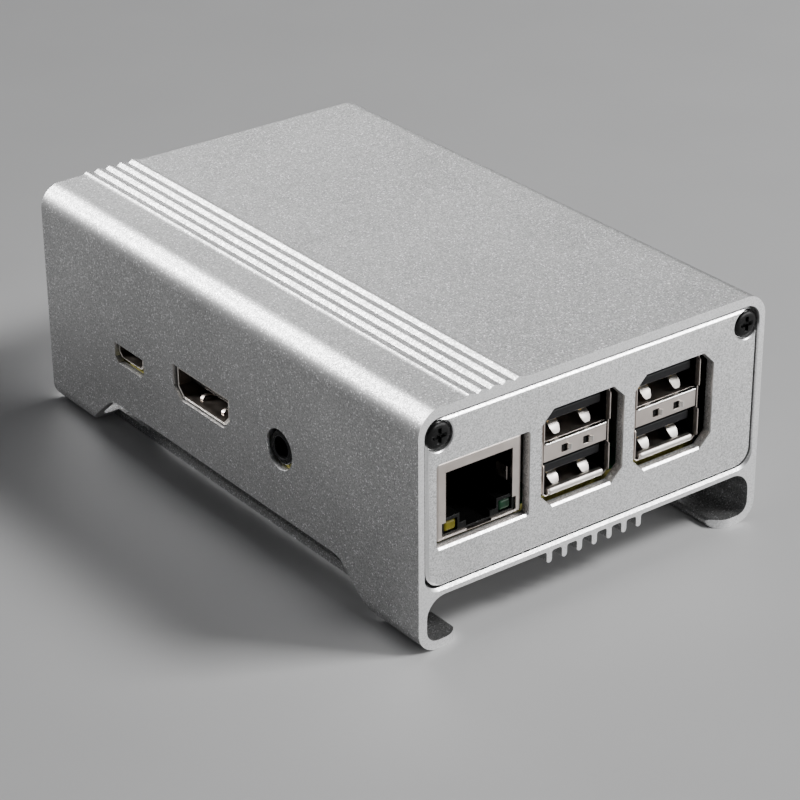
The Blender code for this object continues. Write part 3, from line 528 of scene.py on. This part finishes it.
def seat_ring(y, spread):
    """The plate's seat, opened out towards the end, mostly along the floor."""
    side = CAVITY_X + 0.3 * spread
    outline = rounded_rectangle(
        -side, side, FLOOR_TOP_Z - spread, CAVITY_TOP_Z + 0.3 * spread,
        CAVITY_CORNER + 0.3 * spread, 10
    )
    return [place("Y", point, y) for point in outline]


def arch_outline():
    """Sloping cut between the feet, through one side wall."""
    slope = math.radians(41)
    front = FRONT_Y + 10.6 * MM
    corner = front + 7.75 * MM / math.tan(slope)
    tangent = 5.0 * MM * math.tan(slope / 2)
    below = 1.0 * MM / math.tan(slope)
    half = [(front - below, -1.0 * MM)]
    half += arc(corner + tangent, 2.75 * MM, 5.0 * MM, 131, 90, 14)
    return half + mirrored(half)


def lip_corner(side, end):
    """Waste outside the rounded end of a foot's lip."""
    centre_x = 28.6 * MM
    centre_y = REAR_Y - 3.2 * MM
    points = arc(centre_x, centre_y, 3.2 * MM, 180, 90, 14)
    points += [(centre_x, REAR_Y + MM), (24.4 * MM, REAR_Y + MM), (24.4 * MM, centre_y)]
    return [(side * first, end * second) for first, second in points]


def side_cut_outs():
    wall = (-SIDE_X - MM, -CAVITY_X + MM)
    hdmi_y = middle("hdmi_shell").y
    micro_y = middle("micro_usb_shell").y
    av_y = middle("av_jack").y
    return [
        prism("cut", chamfered(hdmi_y, 19.5 * MM, 16.0 * MM, 5.7 * MM, 0, 1.9 * MM), "X", *wall),
        prism("cut", chamfered(micro_y, 17.6 * MM, 8.8 * MM, 3.5 * MM, 0, 0.9 * MM), "X", *wall),
        prism("cut", circle(av_y, 19.45 * MM, 6.8 * MM, 64), "X", *wall),
    ]


def build_case():
    outline = ridge_outline() + foot_outline() + fin_outline() + mirrored(foot_outline())
    case = prism("case", outline, "Y", FRONT_Y, REAR_Y)
    tools = [prism("cut", cavity_outline(), "Y", FRONT_Y - MM, REAR_Y + MM)]
    for end in (-1, 1):
        outer = end * REAR_Y
        bm = bmesh.new()
        lip = 0.42 * MM
        rings = [
            seat_ring(outer + end * MM, lip), seat_ring(outer, lip), seat_ring(outer - end * lip, 0.0),
            seat_ring(outer - end * (PLATE_THICKNESS + GAP), 0.0),
        ]
        add_loft(bm, rings)
        tools.append(make_object(bm, "cut"))
    for side in (-1, 1):
        bore = circle(side * SCREW_X, SCREW_Z, 2.5 * MM, 24)
        tools.append(prism("cut", bore, "Y", FRONT_Y - MM, REAR_Y + MM))
        tools.append(prism("cut", arch_outline(), "X", side * 28.0 * MM, side * (SIDE_X + MM)))
        for end in (-1, 1):
            tools.append(prism("cut", lip_corner(side, end), "Z", -MM, 2.5 * MM))
    tools += side_cut_outs()
    boolean(case, tools)
    bevel(case, 0.18 * MM, 2, 38)
    shade(case, 32)
    coat(case, CASE)
    # painted light: faces turned towards the ends get the lighter rim copy of the case metal
    coat_facing(case, RIM_PAINTED_LIGHT, 1, 0.25)
    dress(case, "case", ["case_body"])


# ---------------------------------------------------------------- end plates and their screws

def plate_ring(y, spread):
    low = FLOOR_TOP_Z + GAP - spread
    high = CAVITY_TOP_Z - GAP + spread
    side = CAVITY_X - GAP + spread
    return [place("Y", point, y) for point in rounded_rectangle(-side, side, low, high, 3.0 * MM + spread, 12)]


def build_plate(name, node, body, outer, inward, openings):
    edge = 0.4 * MM
    bm = bmesh.new()
    back = outer + inward * PLATE_THICKNESS
    rings = [
        plate_ring(outer, -edge), plate_ring(outer + inward * edge, 0.0), plate_ring(back, 0.0),
    ]
    add_loft(bm, rings)
    plate = make_object(bm, name)
    tools = []
    outside = outer - inward * MM
    for side in (-1, 1):
        tools.append(prism("cut", circle(side * SCREW_X, SCREW_Z, 2.9 * MM), "Y", outside, back + inward * MM))
        bm = bmesh.new()
        rings = []
        for depth, size in ((-1.0, 5.5), (-0.01, 5.3), (0.16, 4.95), (1.0, 4.9)):
            ring = circle(side * SCREW_X, SCREW_Z, size * MM, 64)
            rings.append([place("Y", point, outer + inward * depth * MM) for point in ring])
        add_loft(bm, rings)
        tools.append(make_object(bm, "cut"))
    for shape in openings:
        bm = bmesh.new()
        rings = []
        for depth, spread in ((-1.0, 0.3), (0.0, 0.3), (0.3, 0.0), (2.5, 0.0)):
            rings.append([place("Y", point, outer + inward * depth * MM) for point in shape(spread * MM)])
        add_loft(bm, rings)
        tools.append(make_object(bm, "cut"))
    boolean(plate, tools)
    bevel(plate, 0.06 * MM, 2, 50)
    shade(plate, 30)
    # painted light: both end plates get the lighter copy of the anodised metal
    coat(plate, PLATE_PAINTED_LIGHTER)
    # painted highlight: the sloped chamfer and edge faces get the near-white copy
    coat_facing(plate, CHAMFER_PAINTED_HIGHLIGHT, 1, 0.2, 0.97)
    dress(plate, body, [node])


def build_plate_screw(node, body, inward):
    """Pan head with a cross recess, a domed top and a threaded shank."""
    low, high = corners(node)
    centre_x = (low.x + high.x) / 2
    centre_z = (low.z + high.z) / 2
    face = low.y if inward > 0 else high.y
    radius = (high.x - low.x) / 2
    profile = [
        (0.0, 0.0), (0.45, 0.0), (0.68, 0.05), (0.84, 0.14), (0.94, 0.27), (1.0, 0.46), (1.0, 0.85)
    ]
    bm = bmesh.new()
    rings = []
    for share, depth in profile[1:]:
        ring = circle(centre_x, centre_z, 2 * radius * share, 48)
        rings.append([place("Y", point, face + inward * depth * MM) for point in ring])
    reach = high.y - low.y
    half_pitch = 0.225 * MM
    turns = int((reach - 0.9 * MM) / half_pitch)
    for step in range(turns):
        size = 2.1 * MM if step % 2 else 1.75 * MM
        y = face + inward * (0.86 * MM + step * half_pitch)
        rings.append([place("Y", point, y) for point in circle(centre_x, centre_z, size, 48)])
    add_loft(bm, rings)
    screw = make_object(bm, node + "_detail")
    tools = []
    for wide, tall in ((1.25, 0.34), (0.34, 1.25)):
        bm = bmesh.new()
        shrink = 0.72
        rings = []
        for depth, factor in ((-0.5, 1.0), (0.0, 1.0), (0.55, shrink)):
            arm = rectangle(
                centre_x - wide * factor * MM, centre_x + wide * factor * MM,
                centre_z - tall * factor * MM, centre_z + tall * factor * MM
            )
            rings.append([place("Y", point, face + inward * depth * MM) for point in arm])
        add_loft(bm, rings)
        tools.append(make_object(bm, "cut"))
    boolean(screw, tools)
    bevel(screw, 0.04 * MM, 1, 50)
    shade(screw, 35)
    coat(screw, OXIDE)
    dress(screw, body, [node])


def usb_opening(centre_x, out):
    """Opening for one USB stack, wider by out along its lower edge and by less elsewhere."""
    corner = 2.07 * MM + out * 0.4
    return chamfered(
        centre_x, 24.68 * MM - 0.3 * out, 15.7 * MM + 0.8 * out, 16.0 * MM + 1.4 * out, corner, corner + 0.3 * out
    )


def build_covers():
    jack_x = middle("ethernet_shield").x
    left_x = middle("usb_shell_left").x
    right_x = middle("usb_shell_right").x
    openings = [
        lambda out: rounded_rectangle(
            jack_x - 8.5 * MM - 0.4 * out, jack_x + 8.5 * MM + 0.4 * out,
            16.8 * MM - out, 30.45 * MM + 0.4 * out, 0.45 * MM + 0.4 * out, 4
        ),
        lambda out: usb_opening(left_x, out),
        lambda out: usb_opening(right_x, out),
    ]
    build_plate("front_cover_plate", "front_plate", "front_cover", FRONT_Y, 1, openings)
    build_plate("rear_cover_plate", "rear_plate", "rear_cover", REAR_Y, -1, [])
    for side in ("left", "right"):
        build_plate_screw("front_plate_screw_" + side, "front_cover", 1)
        build_plate_screw("rear_plate_screw_" + side, "rear_cover", -1)


# ---------------------------------------------------------------- network jack

def build_network_jack():
    low, high = corners("ethernet_shield")
    x = (low.x + high.x) / 2
    face = low.y
    half = (high.x - low.x) / 2
    shield = prism("jack_shield", rectangle(low.x, high.x, low.z, high.z), "Y", face, high.y)
    bevel(shield, 0.6 * MM, 4, 60)
    inner = rectangle(low.x + 0.4 * MM, high.x - 0.4 * MM, low.z + 0.4 * MM, high.z - 0.4 * MM)
    tools = [prism("cut", inner, "Y", face + 0.35 * MM, high.y - 0.4 * MM)]
    window = [(6.15, 28.2), (6.15, 20.0), (6.85, 20.0), (6.85, 17.75), (2.3, 17.75), (2.3, 17.4)]
    outline = [(x + wide * MM, z * MM) for wide, z in window]
    outline += [(x - wide * MM, z * MM) for wide, z in reversed(window)]
    tools.append(prism("cut", outline, "Y", face - MM, face + MM))
    boolean(shield, tools)
    bevel(shield, 0.05 * MM, 2, 50)
    shade(shield, 35)
    coat(shield, NICKEL)
    parts = [shield]
    for side in (-1, 1):
        path = [
            (face + 8.0 * MM, 0.0), (face + 3.0 * MM, 0.0), (face + 1.6 * MM, 0.22 * MM), (face + 0.7 * MM, 0.18 * MM),
        ]
        bm = bmesh.new()
        rings = []
        for y, out in path:
            edge = x + side * (half + out - 0.05 * MM)
            rings.append([
                (edge, y, 21.0 * MM), (edge + side * 0.12 * MM, y, 21.0 * MM),
                (edge + side * 0.12 * MM, y, 25.5 * MM), (edge, y, 25.5 * MM),
            ])
        add_loft(bm, rings)
        tab = make_object(bm, "side spring")
        shade(tab, 50)
        parts.append(coat(tab, TIN))
    parts.append(soft_block(
        "inner spring", (x + 5.75 * MM, face + 0.9 * MM, 22.6 * MM), (x + 6.0 * MM, face + 3.4 * MM, 24.8 * MM),
        0.08 * MM, NICKEL
    ))
    dress(join("ethernet_shield_detail", parts), "case", ["ethernet_shield"])

    low, high = corners("ethernet_insert")
    face = low.y
    insert = prism("ethernet_insert_detail", rectangle(low.x, high.x, low.z, high.z), "Y", face, high.y)
    port = []
    steps = [(6.2, 28.1), (6.2, 20.55), (3.4, 20.55), (3.4, 18.95), (2.2, 18.95), (2.2, 18.0)]
    for mirror in (1, -1):
        ordered = steps if mirror > 0 else list(reversed(steps))
        port += [(x + mirror * wide * MM, z * MM) for wide, z in ordered]
    tools = [prism("cut", port, "Y", face - MM, face + 13.0 * MM)]
    for node in ("ethernet_light_left", "ethernet_light_right"):
        light_low, light_high = corners(node)
        window = rectangle(
            light_low.x - 0.1 * MM, light_high.x + 0.1 * MM, light_low.z - 0.1 * MM, light_high.z + 0.1 * MM
        )
        tools.append(prism("cut", window, "Y", face - MM, face + 6.0 * MM))
    boolean(insert, tools)
    bevel(insert, 0.13 * MM, 3, 50)
    shade(insert, 35)
    coat(insert, PLASTIC)
    dress(insert, "case", ["ethernet_insert"])
    wires = []
    for index in range(8):
        wire_x = x + (index - 3.5) * 1.02 * MM
        path = [
            (face + 3.2 * MM, 27.9 * MM), (face + 4.0 * MM, 27.6 * MM), (face + 8.0 * MM, 25.6 * MM),
            (face + 11.4 * MM, 24.2 * MM), (face + 12.8 * MM, 24.0 * MM),
        ]
        wires.append(strip("contact", path, 0.38 * MM, 0.22 * MM, wire_x, GOLD, False))
    dress(join("ethernet_contacts", wires), "case")

    for node, material, slot in (
        ("ethernet_light_left", YELLOW, "yellow_lens"), ("ethernet_light_right", GREEN, "green_lens")
    ):
        low, high = corners(node)
        lens = soft_block(node + "_lens", low + Vector((0, 0.1 * MM, 0)), high, 0.5 * MM, material, 5)
        dress(lens, "case", [node])


# ---------------------------------------------------------------- USB stacks

PORT_FLOORS = (17.75 * MM, 26.25 * MM)
PORT_HEIGHT = 5.4 * MM


def usb_case(x, face, back):
    """Steel shell, black core with the two ports, divider plate and the rolled lips of one stack. The black core
    lining the ports is painted shade in place of the shaded steel walls.
    """
    outer = chamfered(x, 24.9 * MM, 13.0 * MM, 15.1 * MM, 0.8 * MM, 0.8 * MM)
    shell = prism("shell", outer, "Y", face + 0.5 * MM, back)
    inner = chamfered(x, 24.9 * MM, 12.5 * MM, 14.6 * MM, 0.6 * MM, 0.6 * MM)
    boolean(shell, [prism("cut", inner, "Y", face, back - 0.3 * MM)])
    bevel(shell, 0.06 * MM, 2, 50)
    shade(shell, 35)
    # painted shade: the black core's walls line each port where the inside lies in shade
    block = rectangle(x - 6.2 * MM, x + 6.2 * MM, 17.65 * MM, 32.1 * MM)
    core = prism("core", block, "Y", face + 0.85 * MM, back - 0.4 * MM)
    tools = []
    for floor in PORT_FLOORS:
        port = rectangle(x - 6.05 * MM, x + 6.05 * MM, floor, floor + PORT_HEIGHT)
        tools.append(prism("cut", port, "Y", face - MM, face + 12.5 * MM))
    boolean(core, tools)
    shade(core, 35)
    sheet = rectangle(x - 6.15 * MM, x + 6.0 * MM, 23.2 * MM, 26.2 * MM)
    divider = prism("divider", sheet, "Y", face + 0.5 * MM, face + 0.84 * MM)
    tools = []
    for side in (-1, 1):
        hole = rectangle(x + side * 2.1 * MM - 0.6 * MM, x + side * 2.1 * MM + 0.6 * MM, 23.85 * MM, 25.1 * MM)
        tools.append(prism("cut", hole, "Y", face, face + 4.0 * MM))
    boolean(divider, tools)
    bevel(divider, 0.05 * MM, 2, 50)
    shade(divider, 35)
    parts = [coat(shell, NICKEL), coat(core, PLASTIC), coat(divider, NICKEL)]
    parts.append(soft_block(
        "divider lip", (x - 6.0 * MM, face + 0.22 * MM, 26.0 * MM), (x + 5.85 * MM, face + 1.3 * MM, 26.32 * MM),
        0.14 * MM, TIN, 3
    ))
    parts.append(soft_block(
        "bottom lip", (x - 5.4 * MM, face, 17.5 * MM), (x + 5.4 * MM, face + 1.2 * MM, 18.65 * MM),
        0.42 * MM, SPRING, 5
    ))
    for floor in PORT_FLOORS:
        parts.append(soft_block(
            "floor sheet", (x - 6.0 * MM, face + 1.0 * MM, floor - 0.05 * MM),
            (x + 6.0 * MM, face + 12.0 * MM, floor + 0.1 * MM), 0.04 * MM, NICKEL
        ))
    return parts


def usb_flap(edge_x, face):
    """Bent edge of one punched window in the divider."""
    bm = bmesh.new()
    rings = []
    for depth, out in ((0.55, 0.0), (0.2, 0.12), (-0.02, 0.34)):
        y = face + depth * MM
        edge = edge_x + out * MM
        rings.append([
            (edge - 0.08 * MM, y, 24.0 * MM), (edge + 0.08 * MM, y, 24.0 * MM),
            (edge + 0.08 * MM, y, 25.0 * MM), (edge - 0.08 * MM, y, 25.0 * MM),
        ])
    add_loft(bm, rings)
    flap = make_object(bm, "flap")
    shade(flap, 40)
    return coat(flap, SPRING)


def usb_flare(x, face, side, floor, reach):
    """Side lip of a port, bent slightly outwards."""
    bm = bmesh.new()
    rings = []
    for depth, out in ((2.0, 6.2), (0.9, 6.2), (0.35, 6.2 + reach * 0.4), (0.05, 6.2 + reach)):
        y = face + depth * MM
        edge = x + side * out * MM
        inset = (0.3 if depth > 0.1 else 0.5) * MM
        rings.append([
            (edge - 0.08 * MM, y, floor + inset), (edge + 0.08 * MM, y, floor + inset),
            (edge + 0.08 * MM, y, floor + 5.4 * MM - inset), (edge - 0.08 * MM, y, floor + 5.4 * MM - inset),
        ])
    add_loft(bm, rings)
    flare = make_object(bm, "flare")
    shade(flare, 40)
    return coat(flare, NICKEL)


def build_usb(label):
    low, high = corners("usb_shell_" + label)
    x = (low.x + high.x) / 2
    face = low.y
    parts = usb_case(x, face, high.y)
    spring = [
        (1.5, 0.5), (1.65, 0.8), (2.1, 1.4), (2.7, 1.95), (3.4, 2.3), (4.4, 2.4), (6.6, 1.6), (9.5, 0.25)
    ]
    for side in (-1, 1):
        parts.append(usb_flap(x + side * 2.1 * MM + 0.62 * MM, face))
        for floor in PORT_FLOORS:
            parts.append(usb_flare(x, face, side, floor, 0.06 if side > 0 else 0.25))
            path = [(face + y * MM, floor + z * MM) for y, z in spring]
            parts.append(strip("spring", path, 1.8 * MM, 0.24 * MM, x + side * 2.95 * MM, SPRING))
    dress(join("usb_shell_" + label + "_detail", parts), "case", ["usb_shell_" + label])
    for level in ("lower", "upper"):
        build_usb_tongue("usb_tongue_" + label + "_" + level)


def build_usb_tongue(node):
    low, high = corners(node)
    profile = [
        (low.y + 0.3 * MM, low.z), (high.y, low.z), (high.y, high.z), (low.y + 0.5 * MM, high.z),
        (low.y, high.z - 0.35 * MM), (low.y, low.z + 0.3 * MM),
    ]
    slab = prism(node + "_core", profile, "X", low.x + 0.1 * MM, high.x - 0.1 * MM)
    bevel(slab, 0.14 * MM, 3, 25)
    shade(slab, 35)
    pieces = [coat(slab, TONGUE)]
    for index in range(4):
        contact_x = (low.x + high.x) / 2 + (index - 1.5) * 2.3 * MM
        path = [
            (low.y + 1.2 * MM, low.z - 0.02 * MM), (low.y + 2.6 * MM, low.z - 0.2 * MM),
            (low.y + 8.0 * MM, low.z - 0.04 * MM),
        ]
        pieces.append(strip("contact", path, 1.0 * MM, 0.12 * MM, contact_x, GOLD, False))
    dress(join(node + "_detail", pieces), "case", [node])


# ---------------------------------------------------------------- side sockets

def build_side_socket(prefix, chamfer, wall, depth, tabs, contact_count, contact_pitch):
    low, high = corners(prefix + "_shell")
    y = (low.y + high.y) / 2
    z = (low.z + high.z) / 2
    width = high.y - low.y
    height = high.z - low.z
    face = low.x
    shell = prism("shell", chamfered(y, z, width, height, 0, chamfer), "X", face, high.x)
    bevel(shell, 0.3 * MM, 3, 30)
    opening = chamfered(y, z, width - 2 * wall, height - 2 * wall, 0, chamfer * 0.92)
    boolean(shell, [prism("cut", opening, "X", face - MM, face + depth)])
    bevel(shell, 0.07 * MM, 2, 50)
    shade(shell, 35)
    # painted shade: the socket shell's walls get the darkened nickel
    coat(shell, SHADED)
    # painted light: faces turned to the side, the socket rims, get the lighter satin copy
    coat_facing(shell, SATIN_PAINTED_LIGHT, 0, 0.3)
    parts = [shell]
    for offset, across, thick in tabs:
        bm = bmesh.new()
        rings = []
        for go, rise in ((1.6, 0.1), (2.0, 0.45), (2.6, 0.6), (4.5, 0.1)):
            edge_x = face + go * MM
            edge_z = low.z + wall + rise * MM
            near_y = y + offset - across * 0.3
            far_y = y + offset + across * 0.3
            rings.append([
                (edge_x, near_y, edge_z), (edge_x, far_y, edge_z),
                (edge_x, far_y, edge_z + thick), (edge_x, near_y, edge_z + thick),
            ])
        add_loft(bm, rings)
        tab = make_object(bm, "tab")
        shade(tab, 40)
        parts.append(coat(tab, NICKEL))
    dress(join(prefix + "_shell_detail", parts), "case", [prefix + "_shell"])
    low, high = corners(prefix + "_tongue")
    tongue = prism("tongue", rectangle(low.x, high.x, low.y, high.y), "Z", low.z, high.z)
    bevel(tongue, 0.12 * MM, 2, 40)
    shade(tongue, 35)
    pieces = [coat(tongue, TONGUE)]
    for index in range(contact_count):
        contact_y = (low.y + high.y) / 2 + (index - (contact_count - 1) / 2) * contact_pitch
        half = contact_pitch * 0.26
        outline = rectangle(low.x + 0.2 * MM, high.x, contact_y - half, contact_y + half)
        pad = prism("pad", outline, "Z", low.z - 0.05 * MM, low.z + 0.05 * MM)
        pieces.append(coat(pad, GOLD))
    dress(join(prefix + "_tongue_detail", pieces), "case", [prefix + "_tongue"])


def build_av_jack():
    low, high = corners("av_jack")
    y = (low.y + high.y) / 2
    z = low.z + 2.8 * MM
    face = low.x
    body = prism("body", rectangle(face + 3.0 * MM, high.x, low.y, high.y), "Z", low.z, low.z + 5.2 * MM)
    bevel(body, 0.2 * MM, 2, 40)
    barrel = prism("barrel", circle(y, z, 5.6 * MM, 64), "X", face, face + 3.3 * MM)
    bevel(barrel, 0.25 * MM, 3, 60)
    boolean(body, [barrel], "UNION")
    boolean(body, [prism("cut", circle(y, z, 3.6 * MM, 48), "X", face - MM, face + 12.0 * MM)])
    shade(body, 35)
    coat(body, PLASTIC)
    ring = prism("ring", circle(y, z, 3.95 * MM, 64), "X", face - 0.05 * MM, face + 1.6 * MM)
    boolean(ring, [prism("cut", circle(y, z, 3.6 * MM, 64), "X", face - MM, face + 3.0 * MM)])
    bevel(ring, 0.06 * MM, 2, 50)
    shade(ring, 35)
    coat(ring, TONGUE)
    spot = soft_block(
        "contact", (face + 0.9 * MM, y - 1.2 * MM, z - 1.5 * MM), (face + 2.4 * MM, y - 0.7 * MM, z - 0.8 * MM),
        0.12 * MM, GOLD
    )
    dress(join("av_jack_detail", [body, ring, spot]), "case", ["av_jack"])


# ---------------------------------------------------------------- board and its parts

def build_pin_header():
    """Two rows of twenty pins in a black base."""
    low, high = corners("gpio_header")
    centre_x = (low.x + high.x) / 2
    base = prism("base", rectangle(low.x, high.x, low.y, high.y), "Z", low.z, low.z + 2.5 * MM)
    bevel(base, 0.25 * MM, 1, 40)
    shade(base)
    parts = [coat(base, PLASTIC)]
    bm = bmesh.new()
    for column in (-1, 1):
        for row in range(20):
            pin_x = centre_x + column * 1.27 * MM
            pin_y = low.y + (row + 0.5) * 2.54 * MM
            rings = []
            for z, half in ((low.z + 2.3 * MM, 0.32), (high.z - 0.5 * MM, 0.32), (high.z, 0.16)):
                side = half * MM
                square = rectangle(pin_x - side, pin_x + side, pin_y - side, pin_y + side)
                rings.append([place("Z", point, z) for point in square])
            add_loft(bm, rings)
    pins = make_object(bm, "pins")
    parts.append(coat(pins, GOLD))
    dress(join("gpio_header_detail", parts), "case", ["gpio_header"])


def paint_node(node, material, edge=0.0):
    """Shows the CAD's own solid with a material and, if asked, softened edges."""
    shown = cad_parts[node]
    for index in range(max(1, len(shown.data.materials))):
        if shown.data.materials:
            shown.data.materials[index] = material
        else:
            shown.data.materials.append(material)
    if edge:
        modifier = shown.modifiers.new("Edge", "BEVEL")
        modifier.width = edge
        modifier.segments = 2
        modifier.limit_method = "ANGLE"
        modifier.angle_limit = math.radians(50)


def build_small_parts():
    """Chip resistors and capacitors in the free places of the board's top."""
    board_low, board_high = corners("circuit_board")
    taken = []
    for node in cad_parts:
        low, high = corners(node)
        above = high.z > board_high.z + 0.1 * MM and low.z < board_high.z + 2.0 * MM
        if above and not node.startswith(("case", "front_plate", "rear_plate")):
            taken.append((low, high))
    ends = bmesh.new()
    cores = bmesh.new()
    clear = 1.4 * MM
    for column in range(14):
        for row in range(22):
            x = board_low.x + (3.0 + column * 3.7 + 0.9 * math.sin(row * 2.3 + column)) * MM
            y = board_low.y + (3.0 + row * 3.7 + 0.9 * math.cos(column * 1.7 + row)) * MM
            free = all(
                x < low.x - clear or x > high.x + clear or y < low.y - clear or y > high.y + clear
                for low, high in taken
            )
            if not free or (column * 5 + row * 3) % 7 == 0:
                continue
            along = (column + row) % 2
            for reach, tall, target in ((0.5, 0.42, ends), (0.28, 0.46, cores)):
                half_x = (reach if along else 0.26) * MM
                half_y = (0.26 if along else reach) * MM
                outline = rectangle(x - half_x, x + half_x, y - half_y, y + half_y)
                add_prism(target, outline, "Z", board_high.z, board_high.z + tall * MM)
    parts = [coat(make_object(ends, "ends"), TIN), coat(make_object(cores, "cores"), CHIP)]
    dress(join("board_small_parts", parts), "case")


def paint_board_parts():
    paint_node("circuit_board", BOARD)
    paint_node("board_tray", TRAY, 0.15 * MM)
    paint_node("thermal_pad", PAD, 0.2 * MM)
    for node in ("usb_network_chip", "power_chip", "power_inductor", "memory_chip"):
        paint_node(node, CHIP, 0.08 * MM)
    for node in ("processor_chip", "wireless_module", "crystal_can", "supply_capacitor", "microsd_socket"):
        paint_node(node, TIN, 0.1 * MM)
    for node in ("display_cable_socket", "camera_cable_socket"):
        paint_node(node, CREAM, 0.1 * MM)
    for node in ("display_cable_latch", "camera_cable_latch"):
        paint_node(node, PLASTIC, 0.1 * MM)
    paint_node("microsd_card", CHIP, 0.08 * MM)
    paint_node("input_fuse", GREEN, 0.1 * MM)
    paint_node("power_light", RED, 0.05 * MM)
    paint_node("activity_light", GREEN, 0.05 * MM)
    for row in ("front", "rear"):
        for column in ("left", "right"):
            paint_node("standoff_" + row + "_" + column, BRASS, 0.1 * MM)
            paint_node("board_screw_" + row + "_" + column, TIN, 0.1 * MM)


# ---------------------------------------------------------------- studio

LIGHT_TARGET = Vector((0.0, 0.0, 0.02))


def build_floor():
    bm = bmesh.new()
    bmesh.ops.create_grid(bm, x_segments=1, y_segments=1, size=3.0)
    bmesh.ops.translate(bm, verts=bm.verts, vec=(0, 0, -0.02 * MM))
    floor = make_object(bm, "studio_floor")
    material, nodes, links, shader = new_material("pale floor")
    shade_noise = noise(nodes, links, object_coordinates(nodes), 30.0, 3.0)
    links.new(ramp(nodes, links, shade_noise, [(0.3, 0.60), (0.7, 0.62)]), shader.inputs["Base Color"])
    shader.inputs["Roughness"].default_value = 0.55
    coat(floor, material)
    return floor


def add_light(name, size, power, position):
    """A soft rectangular light turned towards the middle of the object."""
    data = bpy.data.lights.new(name, "AREA")
    data.shape = "RECTANGLE"
    data.size, data.size_y = size
    data.energy = power
    light = bpy.data.objects.new(name, data)
    light.location = position
    direction = LIGHT_TARGET - Vector(position)
    light.rotation_euler = direction.to_track_quat("-Z", "Y").to_euler()
    bpy.context.scene.collection.objects.link(light)
    return light


def build_studio():
    floor = build_floor()
    world = bpy.data.worlds.new("studio")
    bpy.context.scene.world = world
    world.use_nodes = True
    background = world.node_tree.nodes["Background"]
    background.inputs["Color"].default_value = (0.95, 0.96, 1.0, 1.0)
    background.inputs["Strength"].default_value = 0.11
    add_light("key right front", (0.4, 0.3), 16.0, (0.72, -0.62, 0.96))
    unlit = bpy.data.collections.new("not lit by the strips")
    unlit.objects.link(floor)
    unlit.collection_objects[0].light_linking.link_state = "EXCLUDE"
    strips = [
        add_light("ridge strip", (0.3, 0.16), 18.0, (-0.17, 0.92, 0.90)),
        add_light("edge strip", (0.3, 0.16), 20.0, (-0.58, 0.90, 0.67)),
        add_light("panel rear right", (0.7, 0.3), 2.3, (0.72, 0.96, 0.55)),
    ]
    for strip_light in strips:
        strip_light.light_linking.receiver_collection = unlit
    add_light("low front right", (0.7, 0.22), 4.0, (0.52, -0.70, 0.13))


def build_camera():
    data = bpy.data.cameras.new("photo camera")
    data.sensor_width = 36.0
    data.lens = 121.12
    data.clip_start = 0.01
    data.clip_end = 20.0
    camera = bpy.data.objects.new("photo camera", data)
    right = Vector((0.7974, -0.60342, -0.00593))
    up = Vector((0.28093, 0.36251, 0.88863))
    back = Vector((-0.53407, -0.71026, 0.45858))
    turn = Matrix((right, up, back)).transposed().to_4x4()
    camera.matrix_world = Matrix.Translation((-0.234474, -0.31494, 0.213012)) @ turn
    bpy.context.scene.collection.objects.link(camera)
    bpy.context.scene.camera = camera


build_camera()
build_case()
build_covers()
build_network_jack()
build_usb("left")
build_usb("right")
build_side_socket(
    "hdmi", 1.6 * MM, 0.45 * MM, 9.0 * MM,
    ((-3.0 * MM, 1.0 * MM, 0.18 * MM), (3.0 * MM, 1.0 * MM, 0.18 * MM)), 9, 1.2 * MM
)
build_side_socket("micro_usb", 0.8 * MM, 0.3 * MM, 4.6 * MM, (), 5, 0.65 * MM)
build_av_jack()
build_pin_header()
build_small_parts()
paint_board_parts()
build_studio()
